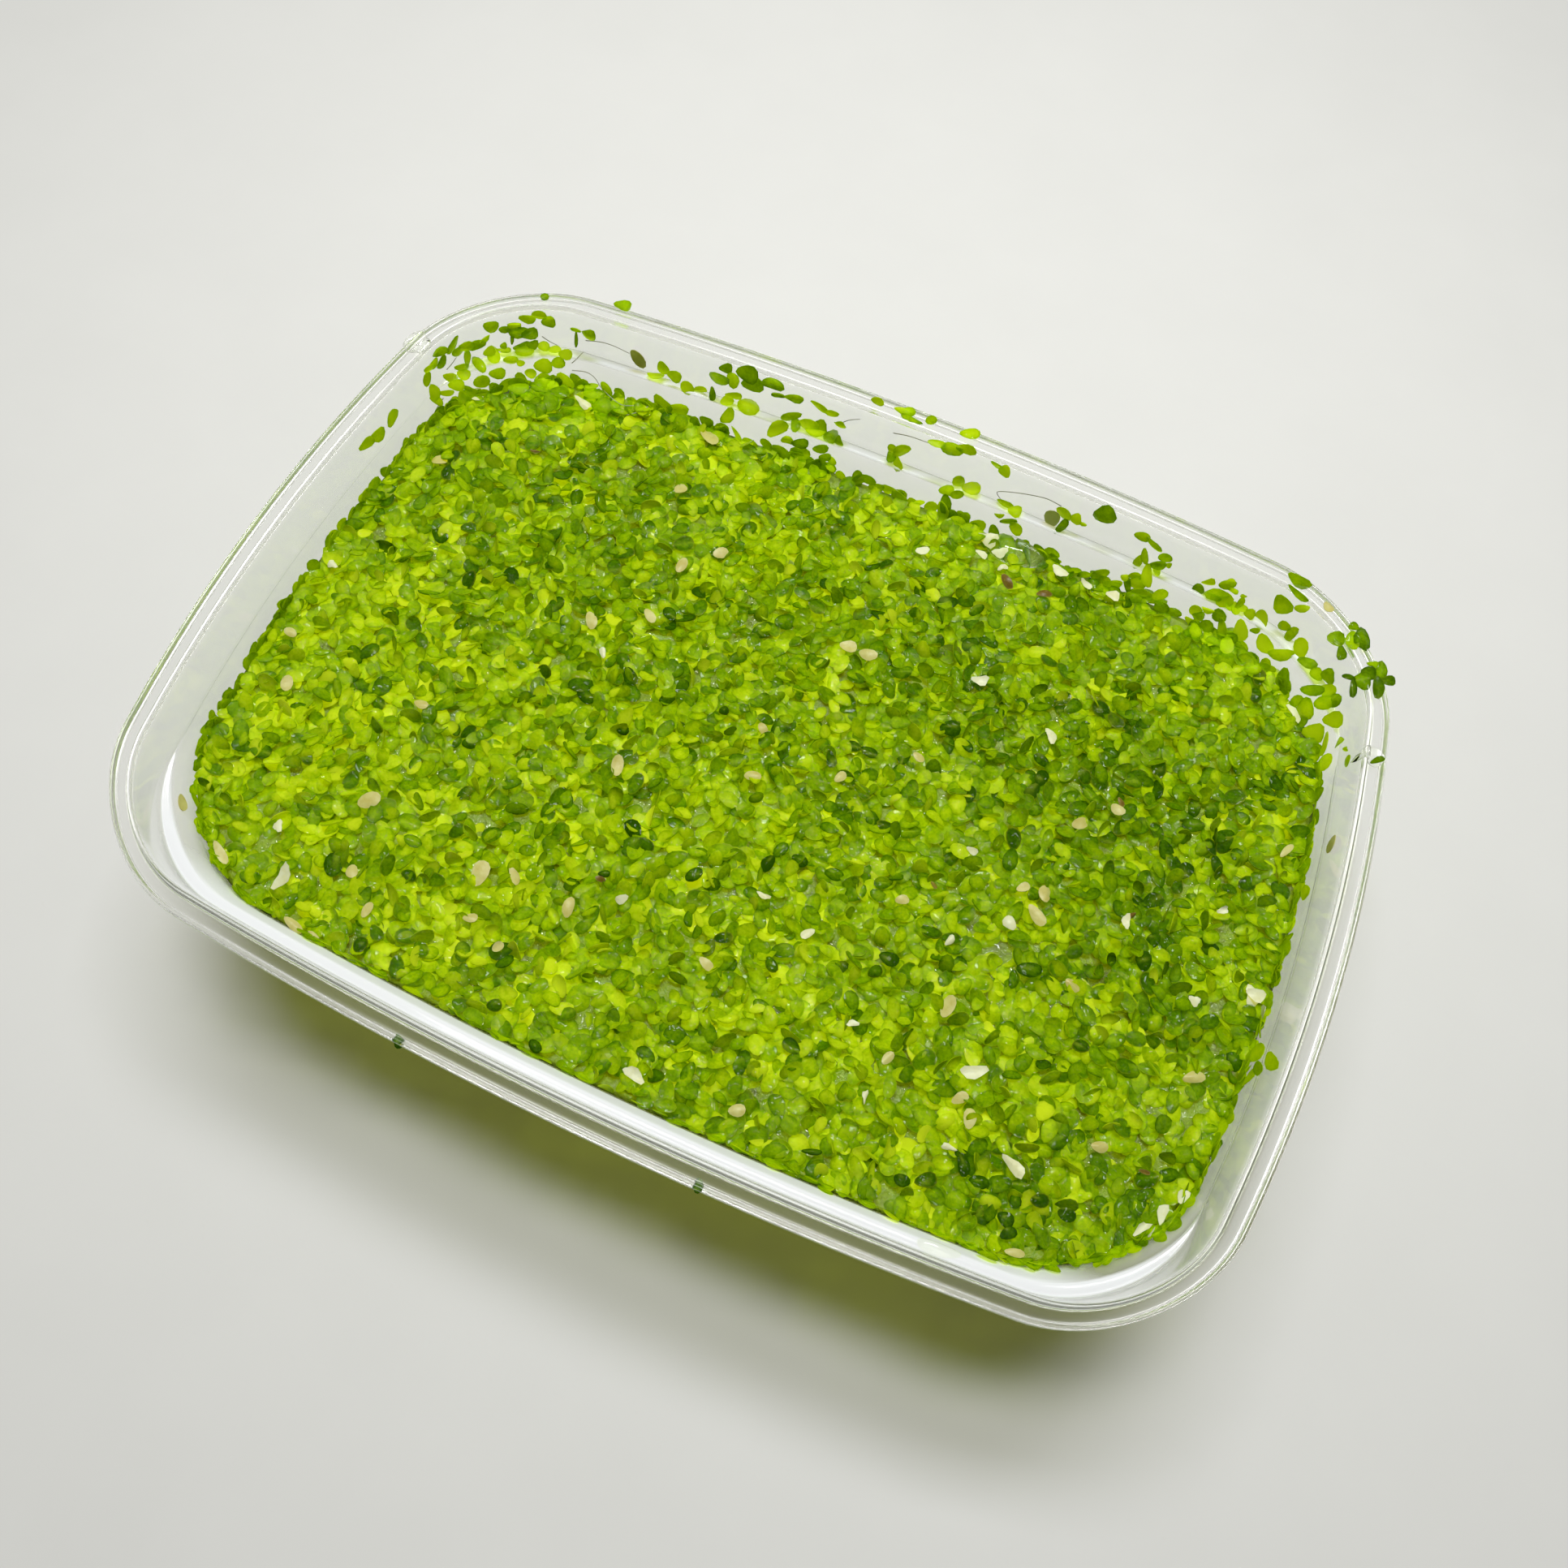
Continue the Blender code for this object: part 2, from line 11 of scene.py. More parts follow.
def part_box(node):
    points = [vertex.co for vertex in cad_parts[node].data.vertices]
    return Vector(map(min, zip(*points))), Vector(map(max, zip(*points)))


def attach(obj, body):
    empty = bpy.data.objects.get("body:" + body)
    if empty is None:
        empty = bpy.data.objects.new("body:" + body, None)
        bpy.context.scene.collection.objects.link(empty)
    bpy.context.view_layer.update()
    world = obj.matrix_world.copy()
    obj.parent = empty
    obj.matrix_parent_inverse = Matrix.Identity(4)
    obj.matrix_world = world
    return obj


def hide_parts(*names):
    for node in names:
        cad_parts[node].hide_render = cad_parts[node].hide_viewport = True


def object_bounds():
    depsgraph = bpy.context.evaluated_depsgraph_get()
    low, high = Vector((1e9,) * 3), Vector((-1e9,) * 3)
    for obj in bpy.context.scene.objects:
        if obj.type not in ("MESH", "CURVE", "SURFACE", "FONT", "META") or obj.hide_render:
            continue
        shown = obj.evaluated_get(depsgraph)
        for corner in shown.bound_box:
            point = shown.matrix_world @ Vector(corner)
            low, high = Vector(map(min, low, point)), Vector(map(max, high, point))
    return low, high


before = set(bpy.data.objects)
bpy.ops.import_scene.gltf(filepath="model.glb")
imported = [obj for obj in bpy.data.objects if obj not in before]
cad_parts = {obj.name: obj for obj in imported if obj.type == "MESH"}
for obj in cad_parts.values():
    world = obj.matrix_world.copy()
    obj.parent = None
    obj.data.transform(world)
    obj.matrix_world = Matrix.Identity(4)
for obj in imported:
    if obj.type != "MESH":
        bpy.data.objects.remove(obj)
cad_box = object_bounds()

# Sizes in millimetres
MM = 0.001
END_BOW = 7.0
SIDE_BOW = 5.0
HALF_LENGTH = 179 / 2 - END_BOW
HALF_WIDTH = 130 / 2 - SIDE_BOW
CORNER_RADIUS = 20.0
LEAST_RADIUS = 4.0
TUB_HEIGHT = 50.0
WATER_LEVEL = 35.0
MENISCUS = 0.2
MENISCUS_REACH = 1.0
MAT_HEIGHT = 35.5
MAT_TOP = 36.3
RIM_TOP = 49.6
UNDER_RIM = 48.45
CORNER_STEPS = 20
SIDE_STEPS = 40

# The shell's section as (inset from the rim's outer edge, height), inside from the bead over
# the channel and the ridge down to the base, then outside from the base up to the lip. The
# rows of the ledge also give how far the long sides stand in there and how much rounder the
# corners are.
RIM_INSIDE = [
    (0.58, 49.64), (0.7, 49.5), (0.82, 49.3), (0.95, 49.18), (1.1, 49.15), (1.6, 49.14),
    (2.1, 49.14), (2.5, 49.15), (2.7, 49.22), (2.83, 49.45), (2.93, 49.8), (3.01, 49.95),
    (3.1, 50.0), (3.16, 49.995), (3.38, 49.94), (3.45, 49.84), (3.49, 49.6), (3.5, 49.0),
]
LEDGE_INSIDE = [
    (3.58, 47.0, 0.08, 0), (3.75, 44.0, 0.23, 0), (3.9, 41.4, 0.43, 0), (3.93, 41.05, 0.47, 0),
    (3.95, 40.88, 0.52, 0.1), (3.96, 40.81, 0.61, 0.3), (3.97, 40.78, 0.73, 0.5),
    (3.98, 40.77, 0.92, 0.8), (3.99, 40.75, 1.11, 1.1), (4.0, 40.72, 1.3, 1.4),
    (4.01, 40.68, 1.49, 1.7), (4.03, 40.62, 1.62, 2.0), (4.04, 40.54, 1.73, 2.2),
    (4.05, 40.42, 1.82, 2.5), (4.07, 40.0, 1.98, 3.0), (4.1, 38.8, 2.4, 4.0),
    (4.15, 37.6, 2.75, 4.8), (4.17, 37.0, 2.93, 5.2), (4.19, 36.2, 3.05, 5.5),
]
BASE_INSIDE = [
    (4.22, 35.4), (4.28, 33.5), (4.5, 29.0), (5.0, 20.0), (5.5, 11.5), (5.9, 4.9), (6.05, 3.8),
    (6.4, 2.8), (6.95, 1.95), (7.7, 1.3), (8.8, 0.85), (10.5, 0.62), (14.0, 0.6),
]
BASE_OUTSIDE = [
    (12.0, 0.0), (9.3, 0.0), (8.3, 0.22), (7.3, 0.75), (6.5, 1.5), (5.85, 2.6), (5.45, 3.8),
    (5.28, 4.9), (4.8, 12.5), (4.25, 22.0), (3.68, 33.0),
]
LEDGE_OUTSIDE = [
    (3.6, 35.2, 3.08, 5.5), (3.5, 36.8, 3.03, 5.3), (3.46, 38.2, 2.54, 4.4),
    (3.42, 39.5, 2.08, 3.3), (3.4, 39.85, 1.88, 2.9), (3.39, 40.03, 1.68, 2.5),
    (3.38, 40.12, 1.45, 2.0), (3.37, 40.17, 1.1, 1.5), (3.36, 40.2, 0.8, 1.0),
    (3.35, 40.28, 0.6, 0.5), (3.34, 40.4, 0.52, 0.2), (3.33, 40.7, 0.49, 0), (3.31, 41.2, 0.47, 0),
    (3.15, 44.0, 0.22, 0), (3.0, 47.0, 0.07, 0),
]
RIM_OUTSIDE = [
    (2.93, 48.2), (2.88, 48.42), (2.72, 48.5), (2.3, 48.5), (1.8, 48.5), (1.3, 48.5),
    (1.0, 48.5), (0.8, 48.47), (0.66, 48.4), (0.6, 48.28), (0.6, 47.95), (0.52, 47.84),
    (0.3, 47.8), (0.08, 47.84), (0.0, 47.98), (0.0, 49.2), (0.04, 49.42), (0.13, 49.58),
    (0.27, 49.67), (0.44, 49.7),
]
LOW_SIDE, LOW_CORNER = 3.1, 5.5


def alike(rows, side_extra=0, corner_extra=0):
    """Section rows that share how far the long sides stand in and how round the corners are."""
    return [(inset, height, side_extra, corner_extra) for inset, height in rows]


INSIDE = alike(RIM_INSIDE) + LEDGE_INSIDE + alike(BASE_INSIDE, LOW_SIDE, LOW_CORNER)
OUTSIDE = alike(BASE_OUTSIDE, LOW_SIDE, LOW_CORNER) + LEDGE_OUTSIDE + alike(RIM_OUTSIDE)

# The camera that took the photograph, in the tub's frame; the photograph is 1932 pixels across.
EYE = Vector((29.84, -76.46, 218.39))
RIGHT = Vector((0.91036, 0.41207, 0.03797))
DOWN = Vector((0.3927, -0.83135, -0.39324))
FORWARD = Vector((-0.13048, 0.3729, -0.91865))
FOCAL = 1535.35
FRAME = 1932
MIDDLE = FRAME / 2


# Plan of the tub
def bowed(p):
    """A plan point pushed out by the bows of the ends and the long sides."""
    x = p.x * (1 + END_BOW / HALF_LENGTH * (1 - (p.y / HALF_WIDTH) ** 2))
    y = p.y * (1 + SIDE_BOW / HALF_WIDTH * (1 - (p.x / HALF_LENGTH) ** 2))
    return Vector((x, y))


def straight(start, end, steps):
    """Points from start to end, both of them included."""
    return [start.lerp(end, k / steps) for k in range(steps + 1)]


def outline(inset, side_extra=0.0, corner_extra=0.0):
    """The tub's plan at an inset, clockwise from the middle of the far side. The long sides
    stand further in by side_extra, and the corners are rounder by corner_extra."""
    half_x = HALF_LENGTH - inset
    half_y = HALF_WIDTH - inset - side_extra
    radius = float(max(CORNER_RADIUS - inset + corner_extra, LEAST_RADIUS))
    corners = [(1, 1, 90), (1, -1, 0), (-1, -1, -90), (-1, 1, 180)]
    points = [Vector((0, half_y))]
    for sx, sy, start in corners:
        middle = Vector((sx * (half_x - radius), sy * (half_y - radius)))
        arc = []
        for k in range(CORNER_STEPS + 1):
            turn = radians(start - 90 * k / CORNER_STEPS)
            arc.append(middle + radius * Vector((cos(turn), sin(turn))))
        steps = SIDE_STEPS if len(points) > 1 else SIDE_STEPS // 2
        points += straight(points[-1], arc[0], steps)[1:-1] + arc
    points += straight(points[-1], points[0], SIDE_STEPS // 2)[1:-1]
    return np.array([bowed(p) for p in points])


WALL = np.array([row for row in INSIDE if row[0] >= 3.5])[::-1]


def wall_at(height):
    """The inner wall's inset, its long sides' further inset and its wider corner radius."""
    return tuple(np.interp(height, WALL[:, 1], WALL[:, k]) for k in (0, 2, 3))


def wall_plan(height, away=0.0):
    """The plan of the inner wall at a height, or of a line away from it."""
    inset, side_extra, corner_extra = wall_at(height)
    return outline(inset + away, side_extra, corner_extra)


def wall_gap(points):
    """How far inside the inner wall points (..., 3) lie, in millimetres."""
    x, y, z = points[..., 0], points[..., 1], points[..., 2]
    inset, side_extra, corner_extra = wall_at(z)
    plain_x, plain_y = x, y
    for _ in range(3):
        plain_x = x / (1 + END_BOW / HALF_LENGTH * (1 - (plain_y / HALF_WIDTH) ** 2))
        plain_y = y / (1 + SIDE_BOW / HALF_WIDTH * (1 - (plain_x / HALF_LENGTH) ** 2))
    radius = np.maximum(CORNER_RADIUS - inset + corner_extra, LEAST_RADIUS)
    past_x = np.abs(plain_x) - (HALF_LENGTH - inset - radius)
    past_y = np.abs(plain_y) - (HALF_WIDTH - inset - side_extra - radius)
    round_part = np.hypot(np.maximum(past_x, 0), np.maximum(past_y, 0))
    return radius - round_part - np.minimum(np.maximum(past_x, past_y), 0)


# Meshes and nodes
def mesh_piece(name, points, faces, tone=None, smooth=True, crease=None):
    """A mesh object from points in millimetres, with an optional colour attribute. Edges
    steeper than crease degrees stay sharp."""
    mesh = bpy.data.meshes.new(name)
    mesh.from_pydata(np.asarray(points, float) * MM, [], faces)
    if tone is not None:
        layer = mesh.color_attributes.new("tone", "FLOAT_COLOR", "POINT")
        layer.data.foreach_set("color", np.asarray(tone, np.float32).ravel())
    if smooth:
        mesh.shade_smooth()
    mesh.update()
    if crease:
        mesh.set_sharp_from_angle(angle=radians(crease))
    piece = bpy.data.objects.new(name, mesh)
    bpy.context.scene.collection.objects.link(piece)
    return piece


def facing_out(points, faces):
    """The faces of a closed skin, turned round if it was wound inside out."""
    points = np.asarray(points, float)
    volume = sum(
        np.dot(points[f[0]], np.cross(points[f[k]], points[f[k + 1]]))
        for f in faces
        for k in range(1, len(f) - 1)
    )
    return [f[::-1] for f in faces] if volume < 0 else faces


def dress(piece, material, slot, *nodes):
    """Gives a piece its material, hides the CAD nodes it stands for and hangs it on the root body;
    slot is not used.
    """
    piece.data.materials.clear()
    piece.data.materials.append(material)
    if nodes:
        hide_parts(*nodes)
    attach(piece, "root")
    return piece


def band(first, second, count):
    """Four-sided faces between two rings of count points that start at the given numbers."""
    return [(first + k, first + (k + 1) % count, second + (k + 1) % count, second + k)
            for k in range(count)]


def lofted(sections):
    """Points and faces of a closed skin over sections with equal point counts, its first and
    last section filled."""
    count = len(sections[0])
    points = np.concatenate(sections)
    faces = []
    for lower in range(len(sections) - 1):
        faces += band(lower * count, (lower + 1) * count, count)
    faces.append(tuple(range(count))[::-1])
    faces.append(tuple(range((len(sections) - 1) * count, len(sections) * count)))
    return points, facing_out(points, faces)


def level(plan, height):
    """Plan points at a height, which may be one number or one for each point."""
    return np.column_stack([plan, np.broadcast_to(height, len(plan))])


class Nodes:
    """Short ways to build a material's node tree."""

    def __init__(self, name):
        self.material = bpy.data.materials.new(name)
        self.material.use_nodes = True
        self.tree = self.material.node_tree
        self.tree.nodes.clear()
        self.out = self.tree.nodes.new("ShaderNodeOutputMaterial")

    def add(self, kind, settings=None, **inputs):
        """A new node with its settings and inputs, whose names have _ for each space."""
        node = self.tree.nodes.new("ShaderNode" + kind)
        for key, value in (settings or {}).items():
            setattr(node, key, value)
        for key, value in inputs.items():
            self.put(node.inputs[key.replace("_", " ")], value)
        return node

    def put(self, socket, value):
        """Links an output to a socket, or sets its number."""
        if isinstance(value, bpy.types.NodeSocket):
            self.tree.links.new(value, socket)
        else:
            socket.default_value = value

    def math(self, operation, a, b=0.0, c=0.0, clamp=False):
        """A Math node's result."""
        node = self.add("Math", {"operation": operation, "use_clamp": clamp})
        for socket, value in zip(node.inputs, (a, b, c)):
            self.put(socket, value)
        return node.outputs[0]

    def ramp(self, factor, stops):
        """Colours between stops, each a place and a colour."""
        node = self.add("ValToRGB", Fac=factor)
        elements = node.color_ramp.elements
        while len(elements) < len(stops):
            elements.new(0.5)
        for element, (place, colour) in zip(elements, stops):
            element.position = place
            element.color = (*colour, 1.0)
        return node.outputs["Color"]

    def mix(self, factor, a, b):
        """A mix of two colours; factor is the second one's share."""
        node = self.add("Mix", {"data_type": "RGBA"})
        self.put(node.inputs["Factor"], factor)
        self.put(node.inputs[6], a if isinstance(a, bpy.types.NodeSocket) else (*a, 1.0))
        self.put(node.inputs[7], b if isinstance(b, bpy.types.NodeSocket) else (*b, 1.0))
        return node.outputs[2]

    def blend(self, share, first, second):
        """A mix of two shaders; share is the second one's."""
        node = self.add("MixShader", Fac=share)
        self.put(node.inputs[1], first)
        self.put(node.inputs[2], second)
        return node.outputs[0]

    def noise(self, scale, detail=2.0, roughness=0.5, distortion=0.0):
        """Noise over object space; scale is in features a millimetre."""
        node = self.add("TexNoise", Vector=self.add("TexCoord").outputs["Object"],
                        Scale=scale / MM, Detail=detail, Roughness=roughness,
                        Distortion=distortion)
        return node.outputs["Fac"]

    def wander(self, *noise):
        """Noise about zero."""
        return self.math("SUBTRACT", self.noise(*noise), 0.5)

    def rising(self, value, low, high):
        """0 where value is at low, rising to 1 where it is at high."""
        return self.math("MULTIPLY_ADD", value, 1 / (high - low), -low / (high - low), clamp=True)

    def tone_channels(self):
        """The colour attribute's channels: tone, edge share and chance."""
        colour = self.add("Attribute", {"attribute_name": "tone"}).outputs["Color"]
        return self.add("SeparateColor", Color=colour).outputs

    def bump(self, height, strength, distance):
        """A bumped normal; distance is in millimetres."""
        node = self.add("Bump", Height=height, Strength=strength, Distance=distance * MM)
        return node.outputs["Normal"]

    def lets_light_through(self, shader, lamp_tint, soft_tint=None):
        """The shader, but a coloured pane to rays on their way to a lamp and, where soft_tint
        is given, to scattered ones."""
        path = self.add("LightPath")
        if soft_tint:
            pane = self.add("BsdfTransparent", Color=(*soft_tint, 1.0))
            shader = self.blend(path.outputs["Is Diffuse Ray"], shader, pane.outputs[0])
        pane = self.add("BsdfTransparent", Color=(*lamp_tint, 1.0))
        self.put(self.out.inputs["Surface"],
                 self.blend(path.outputs["Is Shadow Ray"], shader, pane.outputs[0]))
        return self.material


# Materials
# By share of the tub's height: how clouded the plastic is, where the painted highlight at the
# waterline ledge lies, and how rough the surface is
WALL_CLOUD = [(0.0, 0.05), (0.7, 0.06), (0.74, 0.16), (0.81, 0.16), (0.83, 0.1), (0.95, 0.06),
              (0.97, 0.01)]
WALL_PAINTED_HIGHLIGHT = [(0.735, 0.0), (0.75, 0.85), (0.822, 0.85), (0.83, 0.0)]
WALL_ROUGH = [(0.0, 0.05), (0.72, 0.06), (0.75, 0.12), (0.83, 0.06), (0.965, 0.05),
              (0.978, 0.16), (0.986, 0.22), (1.0, 0.22)]
# The painted highlight also covers what lies past this far towards the near side
PAINTED_HIGHLIGHT_NEAR_SIDE = 51.0


def grey_ramp(n, factor, stops):
    """A ramp of plain numbers."""
    return n.ramp(factor, [(at, (share,) * 3) for at, share in stops])


def plastic_material():
    """Clear plastic with a painted highlight: a white band at the waterline ledge, on what
    faces up and along the near side."""
    n = Nodes("clear_plastic")
    haze = n.noise(0.12, 4.0, 0.6)
    coordinates = n.add("TexCoord").outputs
    place = n.add("SeparateXYZ", Vector=coordinates["Object"]).outputs
    normal = n.add("SeparateXYZ", Vector=coordinates["Normal"]).outputs
    height = n.math("DIVIDE", place["Z"], TUB_HEIGHT * MM)
    clear = n.add(
        "BsdfPrincipled",
        Base_Color=(0.99, 0.992, 0.985, 1), Roughness=grey_ramp(n, height, WALL_ROUGH),
        IOR=1.49, Transmission_Weight=1.0, Normal=n.bump(n.noise(0.3, 2.0), 0.012, 0.05),
    )
    facing = n.add("BsdfDiffuse", Color=(0.93, 0.94, 0.91, 1))
    behind = n.add("BsdfTranslucent", Color=(0.95, 0.96, 0.93, 1))
    milk = n.blend(0.5, facing.outputs[0], behind.outputs[0])
    share = n.math("MULTIPLY_ADD", haze, 0.04, grey_ramp(n, height, WALL_CLOUD))
    body = n.blend(share, clear.outputs[0], milk)
    # Painted highlight: plain white at the waterline ledge, on faces turned up and along the near
    # side
    upward = n.rising(normal["Z"], 0.65, 0.9)
    aside = n.rising(n.math("ABSOLUTE", place["Y"]), 40 * MM, 50 * MM)
    upward = n.math("MULTIPLY", upward, n.math("MULTIPLY_ADD", aside, 0.65, 0.35))
    near = n.rising(place["Y"], -PAINTED_HIGHLIGHT_NEAR_SIDE * MM, -(PAINTED_HIGHLIGHT_NEAR_SIDE + 5) * MM)
    painted_highlight = n.math("MULTIPLY", n.math("MAXIMUM", upward, near),
                     grey_ramp(n, height, WALL_PAINTED_HIGHLIGHT))
    painted_highlight_white = n.add("BsdfDiffuse", Color=(0.90, 0.92, 0.94, 1))
    body = n.blend(painted_highlight, body, painted_highlight_white.outputs[0])
    return n.lets_light_through(body, (0.78, 0.78, 0.74), (0.93, 0.94, 0.92))


def water_material(name, waves):
    """Faintly tinted water with waves of a given strength on what faces up."""
    n = Nodes(name)
    normal = n.add("SeparateXYZ", Vector=n.add("TexCoord").outputs["Normal"]).outputs
    upward = n.rising(normal["Z"], 0.75, 1.0)
    clear = n.add(
        "BsdfPrincipled",
        Base_Color=(0.99, 1.0, 0.97, 1), Roughness=0.0, IOR=1.333, Transmission_Weight=1.0,
        Normal=n.bump(n.noise(0.8, 1.0), n.math("MULTIPLY", upward, waves), 1.1),
    )
    tint = n.add("VolumeAbsorption", Color=(0.72, 0.8, 0.35, 1), Density=7.0)
    n.put(n.out.inputs["Volume"], tint.outputs[0])
    return n.lets_light_through(clear.outputs[0], (0.96, 0.98, 0.9), (0.96, 0.98, 0.9))


# Colours of a leaf by tone, from the darkest to the yellowest, as it lies in the mat
LEAF_TONES = [
    (0.0, (0.030, 0.105, 0.0003)),
    (0.25, (0.100, 0.235, 0.0004)),
    (0.5, (0.250, 0.420, 0.0008)),
    (0.75, (0.450, 0.600, 0.0020)),
    (1.0, (0.660, 0.760, 0.0200)),
]


# The same for fronds on the plastic, which are lit from behind: lighter than the mat's tones,
# as painted light that makes up for the little light they get
PAINTED_LIGHT_THIN_TONES = [
    (0.0, (0.110, 0.225, 0.0005)),
    (0.25, (0.250, 0.400, 0.0006)),
    (0.5, (0.440, 0.610, 0.0010)),
    (0.75, (0.600, 0.740, 0.0030)),
    (1.0, (0.720, 0.840, 0.0250)),
]


def leaf_material(name, share_through, tones, pane):
    """Wet leaf that lets share_through of its light out on the other side, and pane of a
    straight ray."""
    n = Nodes(name)
    tone, edge, chance = n.tone_channels()
    mottled = n.math("MULTIPLY_ADD", n.wander(0.7, 2.0), 0.5, tone)
    mottled = n.math("MULTIPLY_ADD", n.wander(2.4, 2.0, 0.6), 0.5, mottled)
    # Painted light and shade by the edge share: lighter towards the centre, darker towards the
    # edge
    mottled = n.math("ADD", mottled, n.math("MULTIPLY_ADD", edge, -0.2, 0.1))
    body = n.ramp(mottled, tones)
    # Painted rim: a dark outline on half the fronds is painted edge shade, a pale yellow rim on
    # the rest is painted rim light
    outer = n.mix(n.math("GREATER_THAN", chance, 0.5), (0.04, 0.13, 0.0004),
                  (0.66, 0.74, 0.015))
    colour = n.mix(n.math("MULTIPLY", n.math("POWER", edge, 5.0), 0.75), body, outer)
    leaf = n.add(
        "BsdfPrincipled",
        Base_Color=colour, Roughness=n.math("MULTIPLY_ADD", n.noise(0.6, 2.0), 0.25, 0.2),
        Specular_IOR_Level=0.2, Specular_Tint=(0.9, 1.0, 0.05, 1),
        Coat_Weight=0.55, Coat_Roughness=0.02, Coat_IOR=1.36,
        Coat_Normal=n.bump(n.noise(0.55, 1.0, 0.5, 0.5), 1.0, 1.4),
        Normal=n.bump(n.noise(5.0, 2.0, 0.6), 0.2, 0.04),
    )
    through = n.ramp(n.math("ADD", mottled, 0.22), tones)
    glow = n.add("BsdfTranslucent", Color=through)
    return n.lets_light_through(n.blend(share_through, leaf.outputs[0], glow.outputs[0]), pane)


def bleached_material():
    """Dead leaf, from brown over straw to white by its tone."""
    n = Nodes("duckweed_leaf_bleached")
    tone, edge, _ = n.tone_channels()
    stained = n.math("MULTIPLY_ADD", n.wander(0.8, 4.0), 0.5, tone)
    body = n.ramp(stained, [
        (0.0, (0.16, 0.09, 0.01)), (0.35, (0.50, 0.43, 0.09)),
        (0.65, (0.66, 0.64, 0.27)), (1.0, (0.80, 0.83, 0.66)),
    ])
    rim = n.math("MULTIPLY", n.math("POWER", edge, 4.0), 0.3)
    colour = n.mix(rim, body, (0.68, 0.66, 0.36))
    leaf = n.add(
        "BsdfPrincipled",
        Base_Color=colour, Roughness=n.math("MULTIPLY_ADD", n.noise(2.0), 0.3, 0.25),
        Specular_IOR_Level=0.35, Normal=n.bump(n.noise(2.0, 3.0), 0.5, 0.08),
    )
    glow = n.add("BsdfTranslucent", Color=(0.68, 0.67, 0.28, 1))
    return n.lets_light_through(n.blend(0.3, leaf.outputs[0], glow.outputs[0]),
                                (0.8, 0.78, 0.5))


def film_material():
    """The wet sheet of small growth and debris under the fronds, darker than them, which also
    paints the shade in the gaps between them.
    """
    n = Nodes("duckweed_under_film")
    broad = n.noise(0.16, 4.0, 0.65)
    fine = n.noise(1.1, 4.0, 0.7, 0.6)
    shade = n.math("MULTIPLY_ADD", n.math("SUBTRACT", fine, 0.5), 0.8, broad)
    # Dark greens: the debris sheet's colour and painted shade between the fronds
    body = n.ramp(shade, [
        (0.14, (0.03, 0.03, 0.001)), (0.28, (0.10, 0.13, 0.001)), (0.42, (0.15, 0.22, 0.001)),
        (0.6, (0.22, 0.32, 0.001)), (0.8, (0.10, 0.22, 0.001)),
    ])
    film = n.add(
        "BsdfPrincipled",
        Base_Color=body, Roughness=n.math("MULTIPLY_ADD", fine, 0.3, 0.2),
        Specular_IOR_Level=0.25, Normal=n.bump(fine, 0.8, 0.3),
    )
    return n.lets_light_through(film.outputs[0], (0.8, 0.84, 0.4))


def root_material(name, stops, tint):
    """Thin root, coloured by stops along a noise."""
    n = Nodes(name)
    body = n.ramp(n.noise(0.35, 3.0, 0.7), stops)
    root = n.add("BsdfPrincipled", Base_Color=body,
                 Roughness=n.math("ADD", n.noise(1.0), 0.1))
    return n.lets_light_through(root.outputs[0], tint)


def floor_material():
    """Matt white with a faint broad grain."""
    n = Nodes("pale_floor")
    grain = n.noise(0.03, 5.0, 0.6)
    colour = n.ramp(grain, [(0.3, (0.795, 0.795, 0.77)), (0.7, (0.815, 0.815, 0.79))])
    floor = n.add("BsdfPrincipled", Base_Color=colour, Roughness=0.8, Specular_IOR_Level=0.2)
    n.put(n.out.inputs["Surface"], floor.outputs[0])
    return n.material


PLASTIC = plastic_material()
WATER = water_material("pond_water", 0.006)
SURFACE = water_material("pond_water_surface", 1.0)
LEAF = leaf_material("duckweed_leaf", 0.4, LEAF_TONES, (0.82, 0.8, 0.13))
THIN_LEAF = leaf_material("duckweed_leaf_on_plastic", 0.65, PAINTED_LIGHT_THIN_TONES, (0.72, 0.76, 0.4))
BLEACHED = bleached_material()
FILM = film_material()
ROOT = root_material("duckweed_root", [
    (0.3, (0.30, 0.36, 0.10)), (0.55, (0.55, 0.57, 0.28)), (0.8, (0.40, 0.34, 0.14)),
], (0.8, 0.82, 0.6))
DRIED_ROOT = root_material("dried_root", [
    (0.3, (0.30, 0.29, 0.20)), (0.6, (0.42, 0.42, 0.34)), (0.8, (0.34, 0.28, 0.16)),
], (0.85, 0.85, 0.8))

# Tub and water
SHELL = [
    level(outline(inset, side_extra, corner_extra), height)
    for inset, height, side_extra, corner_extra in INSIDE + OUTSIDE
]


def shell_skin():
    """The thermoformed shell: one closed skin, its base closed inside and outside."""
    count = len(SHELL[0])
    inner_last = len(INSIDE) - 1
    faces = []
    for ring in range(len(SHELL)):
        if ring != inner_last:
            faces += band(ring * count, (ring + 1) % len(SHELL) * count, count)
    faces.append(tuple(inner_last * count + k for k in range(count)))
    faces.append(tuple((inner_last + 1) * count + k for k in range(count))[::-1])
    points = np.concatenate(SHELL)
    return points, facing_out(points, faces)


shell_points, shell_faces = shell_skin()
dress(mesh_piece("tub_shell", shell_points, shell_faces), PLASTIC, "clear_plastic", "tub")
SHELL_TREE = BVHTree.FromPolygons(shell_points.tolist(), shell_faces)

WATER_BOTTOM = (0.45, 0.7, 1.1, 1.8, 2.7, 3.8, 4.9, 11.5, 20.0, 29.0, 32.0, 34.0)
SHORE = (-0.15, 0.12, 0.3, 0.55, 0.85, 1.2, 1.65, 2.2, 2.9, 3.8, 5.0, 7.0, 10.0, 13.0)
INTO_WALL = 0.15


